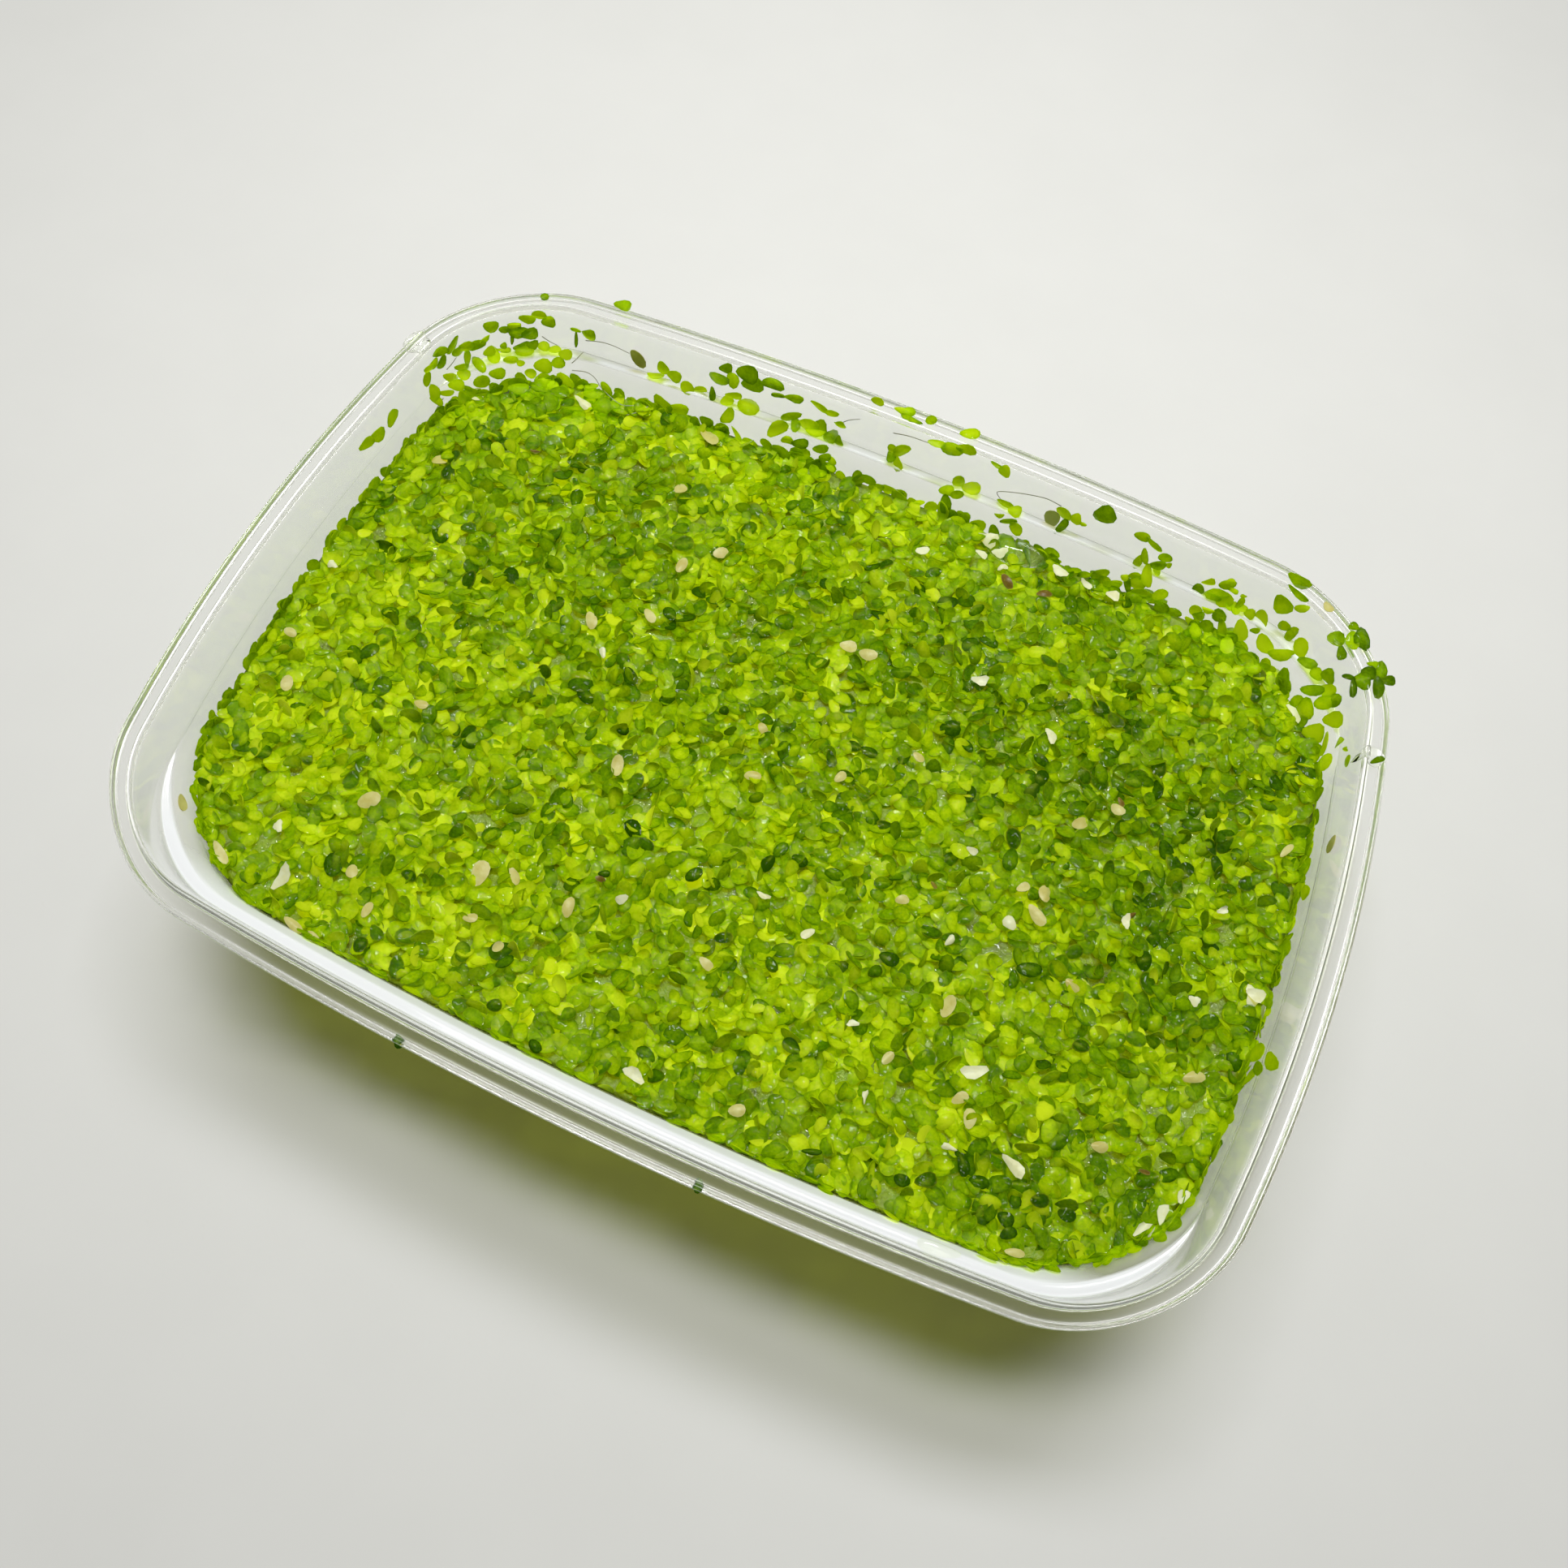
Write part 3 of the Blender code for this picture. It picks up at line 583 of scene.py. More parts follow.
def water_piece():
    """The water, running into the wall's thickness a little so that no air lies between."""
    rings = [level(wall_plan(max(height, 0.62), -INTO_WALL), height) for height in WATER_BOTTOM]
    for away in SHORE:
        rise = MENISCUS * np.exp(-max(away, 0) / MENISCUS_REACH)
        rings.append(level(wall_plan(WATER_LEVEL + MENISCUS, away), WATER_LEVEL + rise))
    points, faces = lofted(rings)
    return mesh_piece("pond_water", points, faces)


dress(water_piece(), SURFACE, "pond_water", "water")

# Fronds
SEGMENTS = 12
# Each ring of a frond: radius, height in domes, and how much it counts as the edge
RINGS = [(0.6, 0.88, 0.12), (0.96, 0.34, 0.85), (0.95, -0.42, 0.8)]
UNDERSIDE = -0.5


def frond_form():
    """A frond of unit half length, half width and dome height: points, edge shares, faces."""
    points = [(0.0, 0.0, 1.0)]
    edge = [0.0]
    for radius, height, share in RINGS:
        for k in range(SEGMENTS):
            turn = 2 * pi * k / SEGMENTS
            x = cos(turn)
            points.append((radius * x, radius * sin(turn) * (0.92 + 0.15 * x), height))
            edge.append(share)
    points.append((0.0, 0.0, UNDERSIDE))
    edge.append(0.3)
    faces = []
    for k in range(SEGMENTS):
        after = (k + 1) % SEGMENTS
        faces.append((0, 1 + k, 1 + after))
        for ring in range(len(RINGS) - 1):
            a, b = 1 + ring * SEGMENTS + k, 1 + ring * SEGMENTS + after
            c, d = a + SEGMENTS, b + SEGMENTS
            faces += [(a, c, d), (a, d, b)]
        last = 1 + (len(RINGS) - 1) * SEGMENTS
        faces.append((last + after, last + k, len(points) - 1))
    return np.array(points), np.array(edge), np.array(faces)


FORM, FORM_EDGE, FORM_FACES = frond_form()
FORM_TURN = np.arctan2(FORM[:, 1], FORM[:, 0])


def turned(axis, angle):
    """Rotation matrices about unit axes (n, 3) by angles (n,)."""
    x, y, z = axis.T
    zero = np.zeros_like(x)
    cross = np.stack([zero, -z, y, z, zero, -x, -y, x, zero], 1).reshape(-1, 3, 3)
    outer = axis[:, :, None] * axis[:, None, :]
    c, s = np.cos(angle)[:, None, None], np.sin(angle)[:, None, None]
    return c * np.eye(3) + s * cross + (1 - c) * outer


def frond_points(rows):
    """World points of fronds. rows holds arrays: place, along, up, size (half length, half
    width, dome), cup, bend, fold, twist, ragged, phase."""
    along = rows["along"] / np.linalg.norm(rows["along"], axis=1, keepdims=True)
    up = rows["up"] - (rows["up"] * along).sum(1, keepdims=True) * along
    up /= np.linalg.norm(up, axis=1, keepdims=True)
    across = np.cross(up, along)
    wave = 1 + rows["ragged"][:, None] * np.sin(3 * FORM_TURN + rows["phase"][:, None])
    u, v, w = FORM[:, 0] * wave, FORM[:, 1] * wave, FORM[:, 2]
    local_z = (
        w * rows["size"][:, 2:3]
        + rows["cup"][:, None] * (u * u + v * v - 0.25)
        + rows["bend"][:, None] * (u * u - 0.3)
        + rows["fold"][:, None] * (np.abs(v) - 0.3)
        + rows["twist"][:, None] * (u * v)
    )
    local_x = u * rows["size"][:, 0:1]
    local_y = v * rows["size"][:, 1:2]
    return (
        rows["place"][:, None]
        + local_x[..., None] * along[:, None]
        + local_y[..., None] * across[:, None]
        + local_z[..., None] * up[:, None]
    )


def frond_piece(name, rows):
    """One mesh of all the fronds in rows."""
    count = len(rows["place"])
    tone = np.ones((count, len(FORM), 4))
    tone[..., 0] = rows["tone"][:, None]
    tone[..., 1] = FORM_EDGE[None]
    tone[..., 2] = rows["chance"][:, None]
    faces = FORM_FACES[None] + np.arange(count)[:, None, None] * len(FORM)
    return mesh_piece(name, frond_points(rows).reshape(-1, 3), faces.reshape(-1, 3),
                      tone.reshape(-1, 4), crease=50)


def shaped(rng, place, along, up, size, tone, cup, bend):
    """Rows of fronds with their curl and raggedness drawn at random. cup and bend are each
    the mean and the spread."""
    count = len(place)
    return {
        "place": np.array(place, float), "along": np.array(along, float),
        "up": np.array(up, float), "size": np.array(size, float),
        "tone": np.array(tone, float), "cup": rng.normal(*cup, count),
        "bend": rng.normal(*bend, count), "fold": rng.normal(0.0, 0.14, count),
        "twist": rng.normal(0, 0.12, count), "ragged": rng.uniform(0.0, 0.07, count),
        "phase": rng.uniform(0, 2 * pi, count), "chance": rng.uniform(0, 1, count),
    }


def some(rows, keep):
    """The rows that keep picks."""
    return {key: value[keep] for key, value in rows.items()}


def kept_inside(rows, least=0.06):
    """Moves fronds that would run through the wall inwards, and drops those that still do."""
    step = 0.1
    for _ in range(3):
        short = np.maximum(least - wall_gap(frond_points(rows)).min(axis=1), 0)
        here = wall_gap(rows["place"])
        slope_x = (wall_gap(rows["place"] + (step, 0, 0)) - here) / step
        slope_y = (wall_gap(rows["place"] + (0, step, 0)) - here) / step
        rows["place"][:, 0] += short * slope_x
        rows["place"][:, 1] += short * slope_y
    return some(rows, wall_gap(frond_points(rows)).min(axis=1) > 0)


# The floating mat
def over_water(points, margin):
    """Which plan points lie inside the wall by a margin where the mat floats."""
    return wall_gap(level(points, MAT_HEIGHT)) > margin


def hex_places(pitch, jitter, rng):
    """Jittered hexagonal places over the mat."""
    xs = np.arange(-88, 88, pitch)
    ys = np.arange(-62, 62, pitch * 0.866)
    grid = np.array([(x + (k % 2) * pitch / 2, y) for k, y in enumerate(ys) for x in xs])
    return grid + rng.normal(0, jitter, grid.shape)


# Where the mat is darker or lighter: (x, y, reach in mm, change of tone). The last two, wide ones
# are painted light, lighter on the left and darker on the right
TONE_AND_LIGHT_PATCHES = [
    (45, 19, 15, -0.13), (60, 12, 13, -0.12), (24, 26, 12, -0.08), (-52, 14, 16, -0.07),
    (-40, 30, 14, -0.06), (-25, 12, 14, -0.05), (8, 30, 12, -0.05), (-44, -38, 17, 0.06),
    (-24, -44, 12, 0.05), (-66, -22, 12, 0.04), (0, -22, 16, 0.03), (23, -34, 15, 0.06),
    (50, -30, 10, 0.03), (70, -44, 10, -0.12), (72, -10, 12, -0.05), (0, 53, 8, 0.12),
    (-31, 54, 9, 0.09), (56, 54, 8, 0.06), (31, -20, 7, -0.06), (-75, -10, 40, 0.06),
    (80, 20, 40, -0.05),
]


def tone_and_light_at(x, y):
    """How much darker or lighter the mat is at a place."""
    total = np.zeros_like(x)
    for px, py, reach, change in TONE_AND_LIGHT_PATCHES:
        total += change * np.exp(-((x - px) ** 2 + (y - py) ** 2) / reach**2)
    return total


def swell(x, y):
    """The mat's gentle relief in millimetres."""
    return (
        0.26 * np.sin(x / 7.1 + 1.3 * np.sin(y / 9.7))
        + 0.22 * np.sin(y / 5.3 + 1.1 * np.sin(x / 8.9) + 2.0)
        + 0.1 * np.sin((x + y) / 2.9)
    )


def horizontal(angle):
    """Level unit directions at angles."""
    return np.column_stack([np.cos(angle), np.sin(angle), np.zeros_like(angle)])


def tilted(yaw, tilt, lean):
    """Directions along and up for fronds turned by yaw and tilted about the level axis lean."""
    turn = turned(horizontal(lean), tilt)
    return np.einsum("nij,nj->ni", turn, horizontal(yaw)), turn[:, :, 2]


def settled(rows):
    """Rows lifted by the mat's relief, toned by its zones and painted light, and kept off the
    wall.
    """
    x, y = rows["place"][:, 0], rows["place"][:, 1]
    rows["place"][:, 2] += swell(x, y)
    rows["tone"] += tone_and_light_at(x, y)
    return kept_inside(rows)


def colonies(rng, pitch, members, base, spread_z, tilt_most, tone, flat=0.13):
    """Colonies of joined fronds on a jittered grid."""
    nodes = hex_places(pitch, pitch * 0.24, rng)
    nodes = nodes[over_water(nodes, 1.0)]
    place, yaws, tilts, leans, size, tones = [], [], [], [], [], []
    for x, y in nodes:
        first = rng.uniform(0, 2 * pi)
        lift = base + rng.uniform(0, spread_z)
        colony_tone = tone + rng.normal(0, 0.16)
        colony_tilt = rng.uniform(0, tilt_most)
        colony_lean = rng.uniform(0, 2 * pi)
        count = rng.choice(members)
        for k in range(count):
            yaw = first + 2 * pi * k / count + rng.normal(0, 0.25)
            half = rng.uniform(1.5, 2.1) * (1.0 if k < 2 else rng.uniform(0.6, 0.95))
            reach = half * rng.uniform(0.82, 0.98)
            place.append((x + reach * cos(yaw), y + reach * sin(yaw),
                          lift + rng.uniform(-0.15, 0.3)))
            yaws.append(yaw)
            tilts.append(colony_tilt + rng.normal(0, 0.14))
            leans.append(colony_lean)
            size.append((half, half * rng.uniform(0.62, 0.82), flat * rng.uniform(0.7, 1.5)))
            tones.append(colony_tone + rng.normal(0, 0.1))
    along, up = tilted(np.array(yaws), np.array(tilts), np.array(leans))
    rows = shaped(rng, place, along, up, size, tones, (0.05, 0.16), (-0.05, 0.18))
    return settled(rows)


def scattered(rng, pitch, keep):
    """Plan points scattered over the mat."""
    nodes = hex_places(pitch, pitch * 0.3, rng)
    nodes = nodes[over_water(nodes, 1.4)]
    return nodes[rng.uniform(0, 1, len(nodes)) < keep]


def beside_wall(rng, count):
    """Plan points in a narrow band along the wall."""
    loop = wall_plan(MAT_HEIGHT, 1.8)
    return loop[rng.integers(0, len(loop), count)] + rng.normal(0, 0.5, (count, 2))


def singles(rng, nodes, base, spread_z, tilts, tone, cup):
    """Single fronds lying over the colonies, many of them tilted or on edge."""
    count = len(nodes)
    tilt = np.radians(rng.triangular(*tilts, count))
    along, up = tilted(rng.uniform(0, 2 * pi, count), tilt, rng.uniform(0, 2 * pi, count))
    half = rng.uniform(1.4, 2.0, count)
    height = base + rng.uniform(0, spread_z, count) + np.sin(tilt) * half * 0.3
    size = np.column_stack([half, half * rng.uniform(0.6, 0.82, count),
                            rng.uniform(0.1, 0.26, count)])
    rows = shaped(rng, np.column_stack([nodes, height]), along, up, size,
                  tone + rng.normal(0, 0.15, count), (cup, 0.22), (-0.05, 0.22))
    return settled(rows)


MOST_FRONDS = 2600


def mat_pieces(name, rows, *nodes, material=LEAF):
    """Frond pieces of at most MOST_FRONDS, cut across the tub's length."""
    parts = -(-len(rows["place"]) // MOST_FRONDS)
    order = np.argsort(rows["place"][:, 0], kind="stable")
    for k, keep in enumerate(np.array_split(order, parts)):
        piece = frond_piece(f"{name}_{k + 1}", some(rows, np.sort(keep)))
        dress(piece, material, "duckweed_leaf", *nodes)


def washed_up(rng, count, highest, tone, low=(-90, -65), high=(90, 65)):
    """Fronds lying up the wall round the mat, in a part of the plan."""
    loop = wall_plan(MAT_HEIGHT + 0.5, 0.3)
    loop = loop[((loop > low) & (loop < high)).all(axis=1)]
    place, along, up = [], [], []
    for start in loop[rng.integers(0, len(loop), count)]:
        height = MAT_HEIGHT + 0.3 + rng.triangular(0, 0.1, 1) * (highest - MAT_HEIGHT)
        near = Vector((*(start + rng.normal(0, 0.5, 2)), height))
        spot, normal, _, _ = SHELL_TREE.find_nearest(near)
        if normal.dot(Vector((0, 0, MAT_HEIGHT)) - spot) < 0:
            normal = -normal
        up.append(normal + Vector(rng.normal(0, 0.25, 3)))
        along.append(normal.cross(Vector(rng.normal(0, 1, 3))))
        place.append(spot + normal * rng.uniform(0.3, 0.7))
    half = rng.uniform(1.4, 1.95, count)
    size = np.column_stack([half, half * rng.uniform(0.62, 0.82, count), np.full(count, 0.13)])
    rows = shaped(rng, place, along, up, size, tone + rng.normal(0, 0.14, count), (0.05, 0.15),
                  (-0.05, 0.15))
    return kept_inside(rows)


rng = np.random.default_rng(7)
mat_pieces("fronds_under", colonies(rng, pitch=4.6, members=[2, 3, 3, 4], base=34.75,
                                    spread_z=0.5, tilt_most=0.12, tone=0.56))
mat_pieces("fronds_main", colonies(rng, pitch=4.0, members=[2, 3, 3, 4], base=35.25,
                                   spread_z=0.6, tilt_most=0.32, tone=0.55), "duckweed_mat")
mat_pieces("fronds_over", singles(rng, scattered(rng, 3.1, 0.8), base=35.75, spread_z=0.6,
                                  tilts=(3, 22, 65), tone=0.56, cup=0.05))
mat_pieces("fronds_top", colonies(rng, pitch=7.5, members=[1, 2, 2, 3], base=36.1,
                                  spread_z=0.35, tilt_most=0.3, tone=0.33))
# Fronds on edge get a lighter tone, 0.66: painted light on their upturned faces
mat_pieces("fronds_on_edge", singles(rng, scattered(rng, 5.2, 0.6), base=36.0, spread_z=0.4,
                                     tilts=(35, 62, 85), tone=0.66, cup=0.15))
mat_pieces("fronds_by_wall", singles(rng, beside_wall(rng, 330), base=35.85, spread_z=0.35,
                                     tilts=(2, 12, 35), tone=0.55, cup=0.05))
mat_pieces("fronds_at_wall", washed_up(rng, 460, highest=37.2, tone=0.5), material=THIN_LEAF)
mat_pieces("fronds_near_corner", washed_up(rng, 50, highest=39.0, tone=0.5, low=(50, -65),
                                           high=(90, -35)), material=THIN_LEAF)

FILM_HEIGHT, FILM_UNDERSIDE = 34.95, 34.4


def film_piece():
    """A thin uneven sheet at the water's surface, out to the wall."""
    edge = wall_plan(MAT_HEIGHT, 0.1)
    rings = []
    for scale in (*np.linspace(0.02, 0.97, 42), 0.985, 1.0):
        plan = edge * scale
        height = FILM_HEIGHT + 0.45 * swell(plan[:, 0], plan[:, 1])
        height += 0.12 * np.sin(plan[:, 0] * 1.7) * np.sin(plan[:, 1] * 1.9)
        bank = np.interp(scale, (0.95, 0.985), (0.0, 1.0))
        rings.append(level(plan, height * (1 - bank) + (MAT_HEIGHT - 0.1) * bank))
    rings.append(level(edge * 0.995, MAT_HEIGHT - 0.5))
    rings.append(level(edge * 0.5, FILM_UNDERSIDE))
    points, faces = lofted(rings)
    return mesh_piece("mat_film", points, faces)


dress(film_piece(), FILM, "duckweed_leaf")

# Placed by the photograph
def sight(px, py):
    """The direction from the camera through a pixel of the photograph."""
    way = RIGHT * ((px - MIDDLE) / FOCAL) + DOWN * ((py - MIDDLE) / FOCAL) + FORWARD
    return way.normalized()


def meets(px, py, floor_height=MAT_TOP):
    """Where a pixel's sight line meets the tub or the mat in front of it, and the normal there
    on the camera's side."""
    way = sight(px, py)
    place, normal, _, _ = SHELL_TREE.ray_cast(EYE, way)
    if place is None or place.z < floor_height or floor_height >= UNDER_RIM:
        return EYE + way * ((floor_height - EYE.z) / way.z), Vector((0, 0, 1))
    return place, (-normal if normal.dot(way) > 0 else normal)


def on_plane(px, py, place, normal):
    """Where a pixel's sight line meets the plane through place."""
    way = sight(px, py)
    return EYE + way * ((place - EYE).dot(normal) / way.dot(normal))


LEAST_HALF, MOST_HALF = 0.55, 2.2
FULLER = 1.15


def spread_at(px, py, length, width, angle, floor_height=MAT_TOP):
    """The place, normal, direction and half sizes of something seen at a pixel, lying on the
    tub or the mat. Sizes are in pixels, and angle in degrees clockwise in the picture."""
    place, normal = meets(px, py, floor_height)
    turn = radians(angle)
    along = on_plane(px + 3 * cos(turn), py + 3 * sin(turn), place, normal) - place
    across = on_plane(px - 3 * sin(turn), py + 3 * cos(turn), place, normal) - place
    half_length = length / 2 * along.length / 3
    side = across - along * (across.dot(along) / along.length_squared)
    half_width = width / 2 * side.length / 3
    half_length = min(max(half_length * FULLER, LEAST_HALF), MOST_HALF)
    half_width = min(max(half_width * FULLER, LEAST_HALF * 0.7), half_length * 1.1,
                     MOST_HALF * 0.85)
    return place, normal, along.normalized(), half_length, half_width


# Tones of fronds by class: dark, olive, middle, bright and yellow
D, O, M, B, Y = 0.3, 0.46, 0.6, 0.78, 0.92

# Fronds stuck to the walls and rim: (pixel x, pixel y, length, width, angle, tone)
WALL_FRONDS = {
    "far_left_corner": [
        (557, 424, 24, 13, 105, D), (538, 431, 18, 14, -20, D), (562, 432, 16, 12, 0, M),
        (573, 425, 18, 14, 0, M), (584, 421, 22, 11, -25, O), (594, 412, 14, 6, -30, M),
        (572, 438, 24, 13, 70, M), (566, 449, 16, 10, -10, M), (538, 443, 18, 9, 110, D),
        (530, 446, 16, 7, -50, M), (524, 452, 14, 12, 0, M), (523, 465, 18, 9, 90, M),
        (552, 463, 26, 12, 20, B), (570, 462, 17, 14, 0, B), (530, 481, 18, 13, 70, B),
        (536, 492, 14, 10, 30, B), (548, 482, 22, 9, 10, B), (561, 473, 18, 14, 0, B),
        (568, 490, 18, 12, 75, Y), (576, 478, 16, 7, 30, D), (604, 400, 18, 13, 0, O),
        (621, 402, 16, 8, 0, D), (633, 395, 16, 12, 0, M), (650, 388, 20, 10, 0, M),
        (664, 385, 18, 10, 0, M), (676, 392, 16, 14, 0, O), (638, 406, 24, 20, 0, D),
        (653, 408, 20, 18, 0, D), (641, 423, 20, 12, -20, D), (656, 420, 14, 18, 0, O),
        (630, 413, 16, 4, 90, D), (619, 422, 8, 8, 0, O), (601, 429, 15, 10, -20, B),
        (609, 441, 20, 16, 80, B), (622, 434, 16, 10, 0, B), (629, 444, 18, 11, 0, M),
        (647, 435, 22, 14, -15, M), (641, 446, 10, 8, 0, B), (590, 450, 26, 12, 50, M),
        (612, 458, 20, 14, 0, M), (592, 468, 20, 18, 0, M), (609, 479, 22, 11, 130, D),
        (636, 468, 20, 14, 0, O), (647, 470, 14, 12, 0, D), (640, 483, 24, 18, 0, O),
        (633, 490, 14, 6, 70, D), (654, 458, 14, 12, 0, Y), (671, 431, 14, 12, 0, B),
        (684, 433, 16, 10, 0, Y), (698, 438, 16, 14, 0, Y), (670, 449, 22, 18, 0, B),
        (688, 446, 16, 14, 0, M), (670, 472, 20, 18, 0, M), (698, 467, 24, 20, 60, M),
        (682, 478, 14, 12, 0, B), (690, 487, 24, 14, 0, D), (680, 497, 26, 20, 90, D),
        (666, 484, 20, 6, 10, D), (660, 496, 14, 9, -20, D), (706, 507, 26, 12, 0, O),
        (728, 490, 20, 14, 40, O), (729, 479, 16, 10, -5, M), (716, 482, 8, 6, 0, M),
        (742, 503, 22, 18, 0, D), (755, 500, 18, 14, 0, O),
    ],
    "left_end": [
        (479, 512, 22, 16, -80, M), (464, 535, 20, 14, -60, M), (449, 545, 20, 12, -40, M),
    ],
    "far_side": [
        (727, 410, 16, 14, 0, O), (711, 404, 14, 4, 10, M), (711, 416, 18, 4, 90, D),
        (818, 452, 18, 12, 70, M), (809, 467, 20, 12, 20, B), (834, 459, 18, 14, 30, M),
        (849, 474, 18, 12, 50, B), (864, 478, 16, 8, 0, B), (817, 497, 28, 20, 40, M),
        (837, 503, 24, 18, 0, M), (887, 463, 24, 20, 0, D), (897, 450, 14, 12, 0, D),
        (905, 465, 28, 15, 90, O), (925, 455, 40, 18, 15, D), (930, 470, 44, 16, 10, D),
        (955, 468, 34, 24, 10, D), (881, 480, 16, 8, 90, D), (982, 486, 22, 9, 10, O),
        (960, 484, 18, 6, 0, D), (906, 485, 20, 10, 0, B), (896, 497, 16, 12, 0, Y),
        (922, 502, 30, 22, 20, B), (899, 510, 24, 16, -35, M), (873, 516, 18, 12, 45, D),
        (876, 533, 20, 11, 85, D), (1010, 499, 24, 9, 25, M), (1027, 505, 16, 8, 15, M),
        (959, 525, 26, 20, -25, B), (975, 511, 36, 10, -5, O), (998, 520, 26, 20, 0, B),
        (980, 527, 20, 12, 90, D), (1012, 525, 20, 18, 90, M), (972, 539, 14, 12, 0, M),
        (988, 544, 20, 12, 0, D), (1005, 535, 24, 18, 0, B), (1024, 540, 20, 16, -45, D),
        (1012, 551, 18, 12, 0, D), (948, 543, 18, 9, 40, O), (965, 553, 26, 12, 30, O),
        (988, 556, 28, 14, 10, O), (1005, 568, 20, 11, -10, D), (1019, 560, 14, 9, 0, D),
        (1026, 566, 12, 8, 40, M), (1022, 580, 14, 7, 50, M), (1003, 583, 18, 14, 90, D),
        (989, 585, 12, 12, 0, M), (1036, 521, 14, 11, 0, O), (1036, 540, 12, 10, 90, O),
        (1083, 493, 16, 11, 20, B), (1113, 508, 22, 9, 20, B), (1120, 510, 16, 10, 0, M),
        (1122, 519, 40, 8, 25, D), (1148, 518, 14, 12, 0, O), (1157, 541, 20, 18, 0, M),
        (1175, 548, 30, 20, 0, O), (1193, 550, 24, 14, 20, M), (1112, 552, 20, 14, -25, M),
        (1100, 550, 10, 10, 0, M), (1108, 568, 20, 13, 80, B), (1098, 567, 16, 12, 90, D),
        (1069, 588, 24, 12, 15, D), (1182, 593, 20, 15, 90, M), (1167, 603, 18, 14, 0, M),
        (1196, 606, 22, 14, 5, B), (1180, 608, 16, 12, 0, M), (1167, 617, 22, 14, 90, D),
        (1164, 625, 24, 14, 90, B), (1175, 630, 14, 12, 0, D), (1181, 637, 20, 20, 0, M),
        (1232, 571, 20, 8, 35, O), (1241, 575, 14, 14, 0, B), (1238, 622, 20, 7, 25, M),
        (1250, 632, 16, 14, 0, B), (1244, 640, 20, 8, 0, D), (1253, 648, 18, 14, 60, M),
        (1233, 632, 12, 6, 0, M), (1312, 630, 20, 14, 45, M), (1310, 645, 20, 10, -45, D),
        (1326, 638, 14, 12, 0, B), (1338, 640, 8, 5, 0, M), (1363, 630, 36, 20, -5, D),
        (1409, 659, 20, 9, 15, O), (1424, 668, 24, 8, 45, O), (1438, 682, 16, 16, 0, D),
        (1430, 691, 22, 9, -5, D), (1441, 693, 8, 6, 0, M), (1403, 690, 20, 11, -60, M),
        (1412, 682, 16, 9, 80, M), (1390, 717, 20, 10, 85, D), (1387, 708, 10, 8, 0, B),
        (1400, 707, 16, 10, 0, M), (1402, 716, 20, 18, 0, M), (1414, 708, 30, 14, 90, B),
        (1424, 703, 20, 10, 90, B), (1397, 736, 22, 18, 0, D), (1410, 737, 18, 16, 0, D),
        (1431, 729, 20, 12, -15, M), (1427, 744, 16, 14, 0, D), (1405, 728, 20, 14, 0, M),
    ],
    "right_corner": [
        (1478, 722, 14, 12, 0, D), (1490, 717, 16, 10, 0, B), (1500, 728, 34, 20, 0, M),
        (1514, 716, 20, 12, 0, M), (1519, 712, 12, 12, 0, B), (1522, 724, 12, 12, 0, M),
        (1494, 737, 20, 14, 0, M), (1510, 735, 20, 16, 0, B), (1474, 750, 16, 14, 0, B),
        (1478, 757, 14, 14, 0, O), (1489, 748, 16, 10, 0, Y), (1503, 756, 18, 16, 0, D),
        (1513, 748, 14, 10, 90, M), (1520, 752, 18, 12, 100, M), (1530, 740, 14, 8, -50, M),
        (1532, 733, 8, 4, 0, M), (1529, 752, 12, 10, 0, B), (1541, 753, 14, 14, 0, B),
        (1488, 770, 26, 20, 90, O), (1508, 770, 26, 12, 90, M), (1510, 784, 22, 12, 0, O),
        (1510, 797, 22, 16, 90, B), (1530, 775, 28, 18, 90, Y), (1492, 792, 18, 12, 0, D),
        (1470, 780, 20, 14, 90, M), (1556, 760, 20, 18, 90, B), (1548, 775, 12, 8, 0, M),
        (1584, 740, 24, 18, 60, O), (1601, 716, 40, 16, 35, D), (1601, 730, 30, 8, 40, D),
        (1608, 746, 16, 12, 0, B), (1584, 769, 15, 12, 0, M), (1592, 781, 22, 12, -50, M),
        (1560, 792, 26, 18, 60, B), (1580, 806, 30, 16, 10, M), (1607, 795, 22, 16, 90, B),
        (1609, 820, 24, 14, 20, D), (1620, 833, 18, 16, 0, M), (1639, 832, 18, 16, 90, O),
        (1583, 834, 22, 18, 90, D), (1568, 834, 20, 14, 0, B), (1543, 828, 22, 12, 0, M),
        (1620, 851, 28, 16, 5, D), (1640, 850, 24, 16, 0, B), (1649, 862, 18, 18, 0, D),
        (1632, 868, 24, 18, 0, O), (1612, 873, 26, 22, 90, M), (1650, 888, 24, 20, 0, B),
        (1622, 903, 30, 24, 0, B), (1612, 922, 26, 20, 0, D), (1638, 917, 28, 24, 90, B),
        (1634, 940, 24, 24, 0, B), (1653, 915, 12, 8, 90, M), (1663, 925, 6, 6, 0, M),
        (1664, 939, 14, 8, -60, O), (1613, 1065, 20, 16, 0, M), (1612, 1101, 24, 20, 20, M),
        (1555, 1300, 30, 24, 0, M), (1545, 1330, 30, 24, 0, M), (1575, 1312, 24, 18, 60, M),
        (1560, 1322, 24, 18, 20, D),
    ],
    "rims": [
        (671, 367, 10, 8, 0, M), (768, 378, 20, 12, 10, B), (1195, 536, 24, 12, 0, Y),
        (1645, 789, 20, 18, 0, M), (1652, 805, 18, 12, 90, O), (1665, 790, 22, 16, 90, B),
        (1677, 788, 28, 22, 90, O), (1666, 774, 12, 10, 0, M), (1662, 835, 18, 9, 15, D),
        (1667, 848, 22, 10, 90, D), (1677, 840, 20, 20, 0, M), (1686, 830, 18, 16, 0, D),
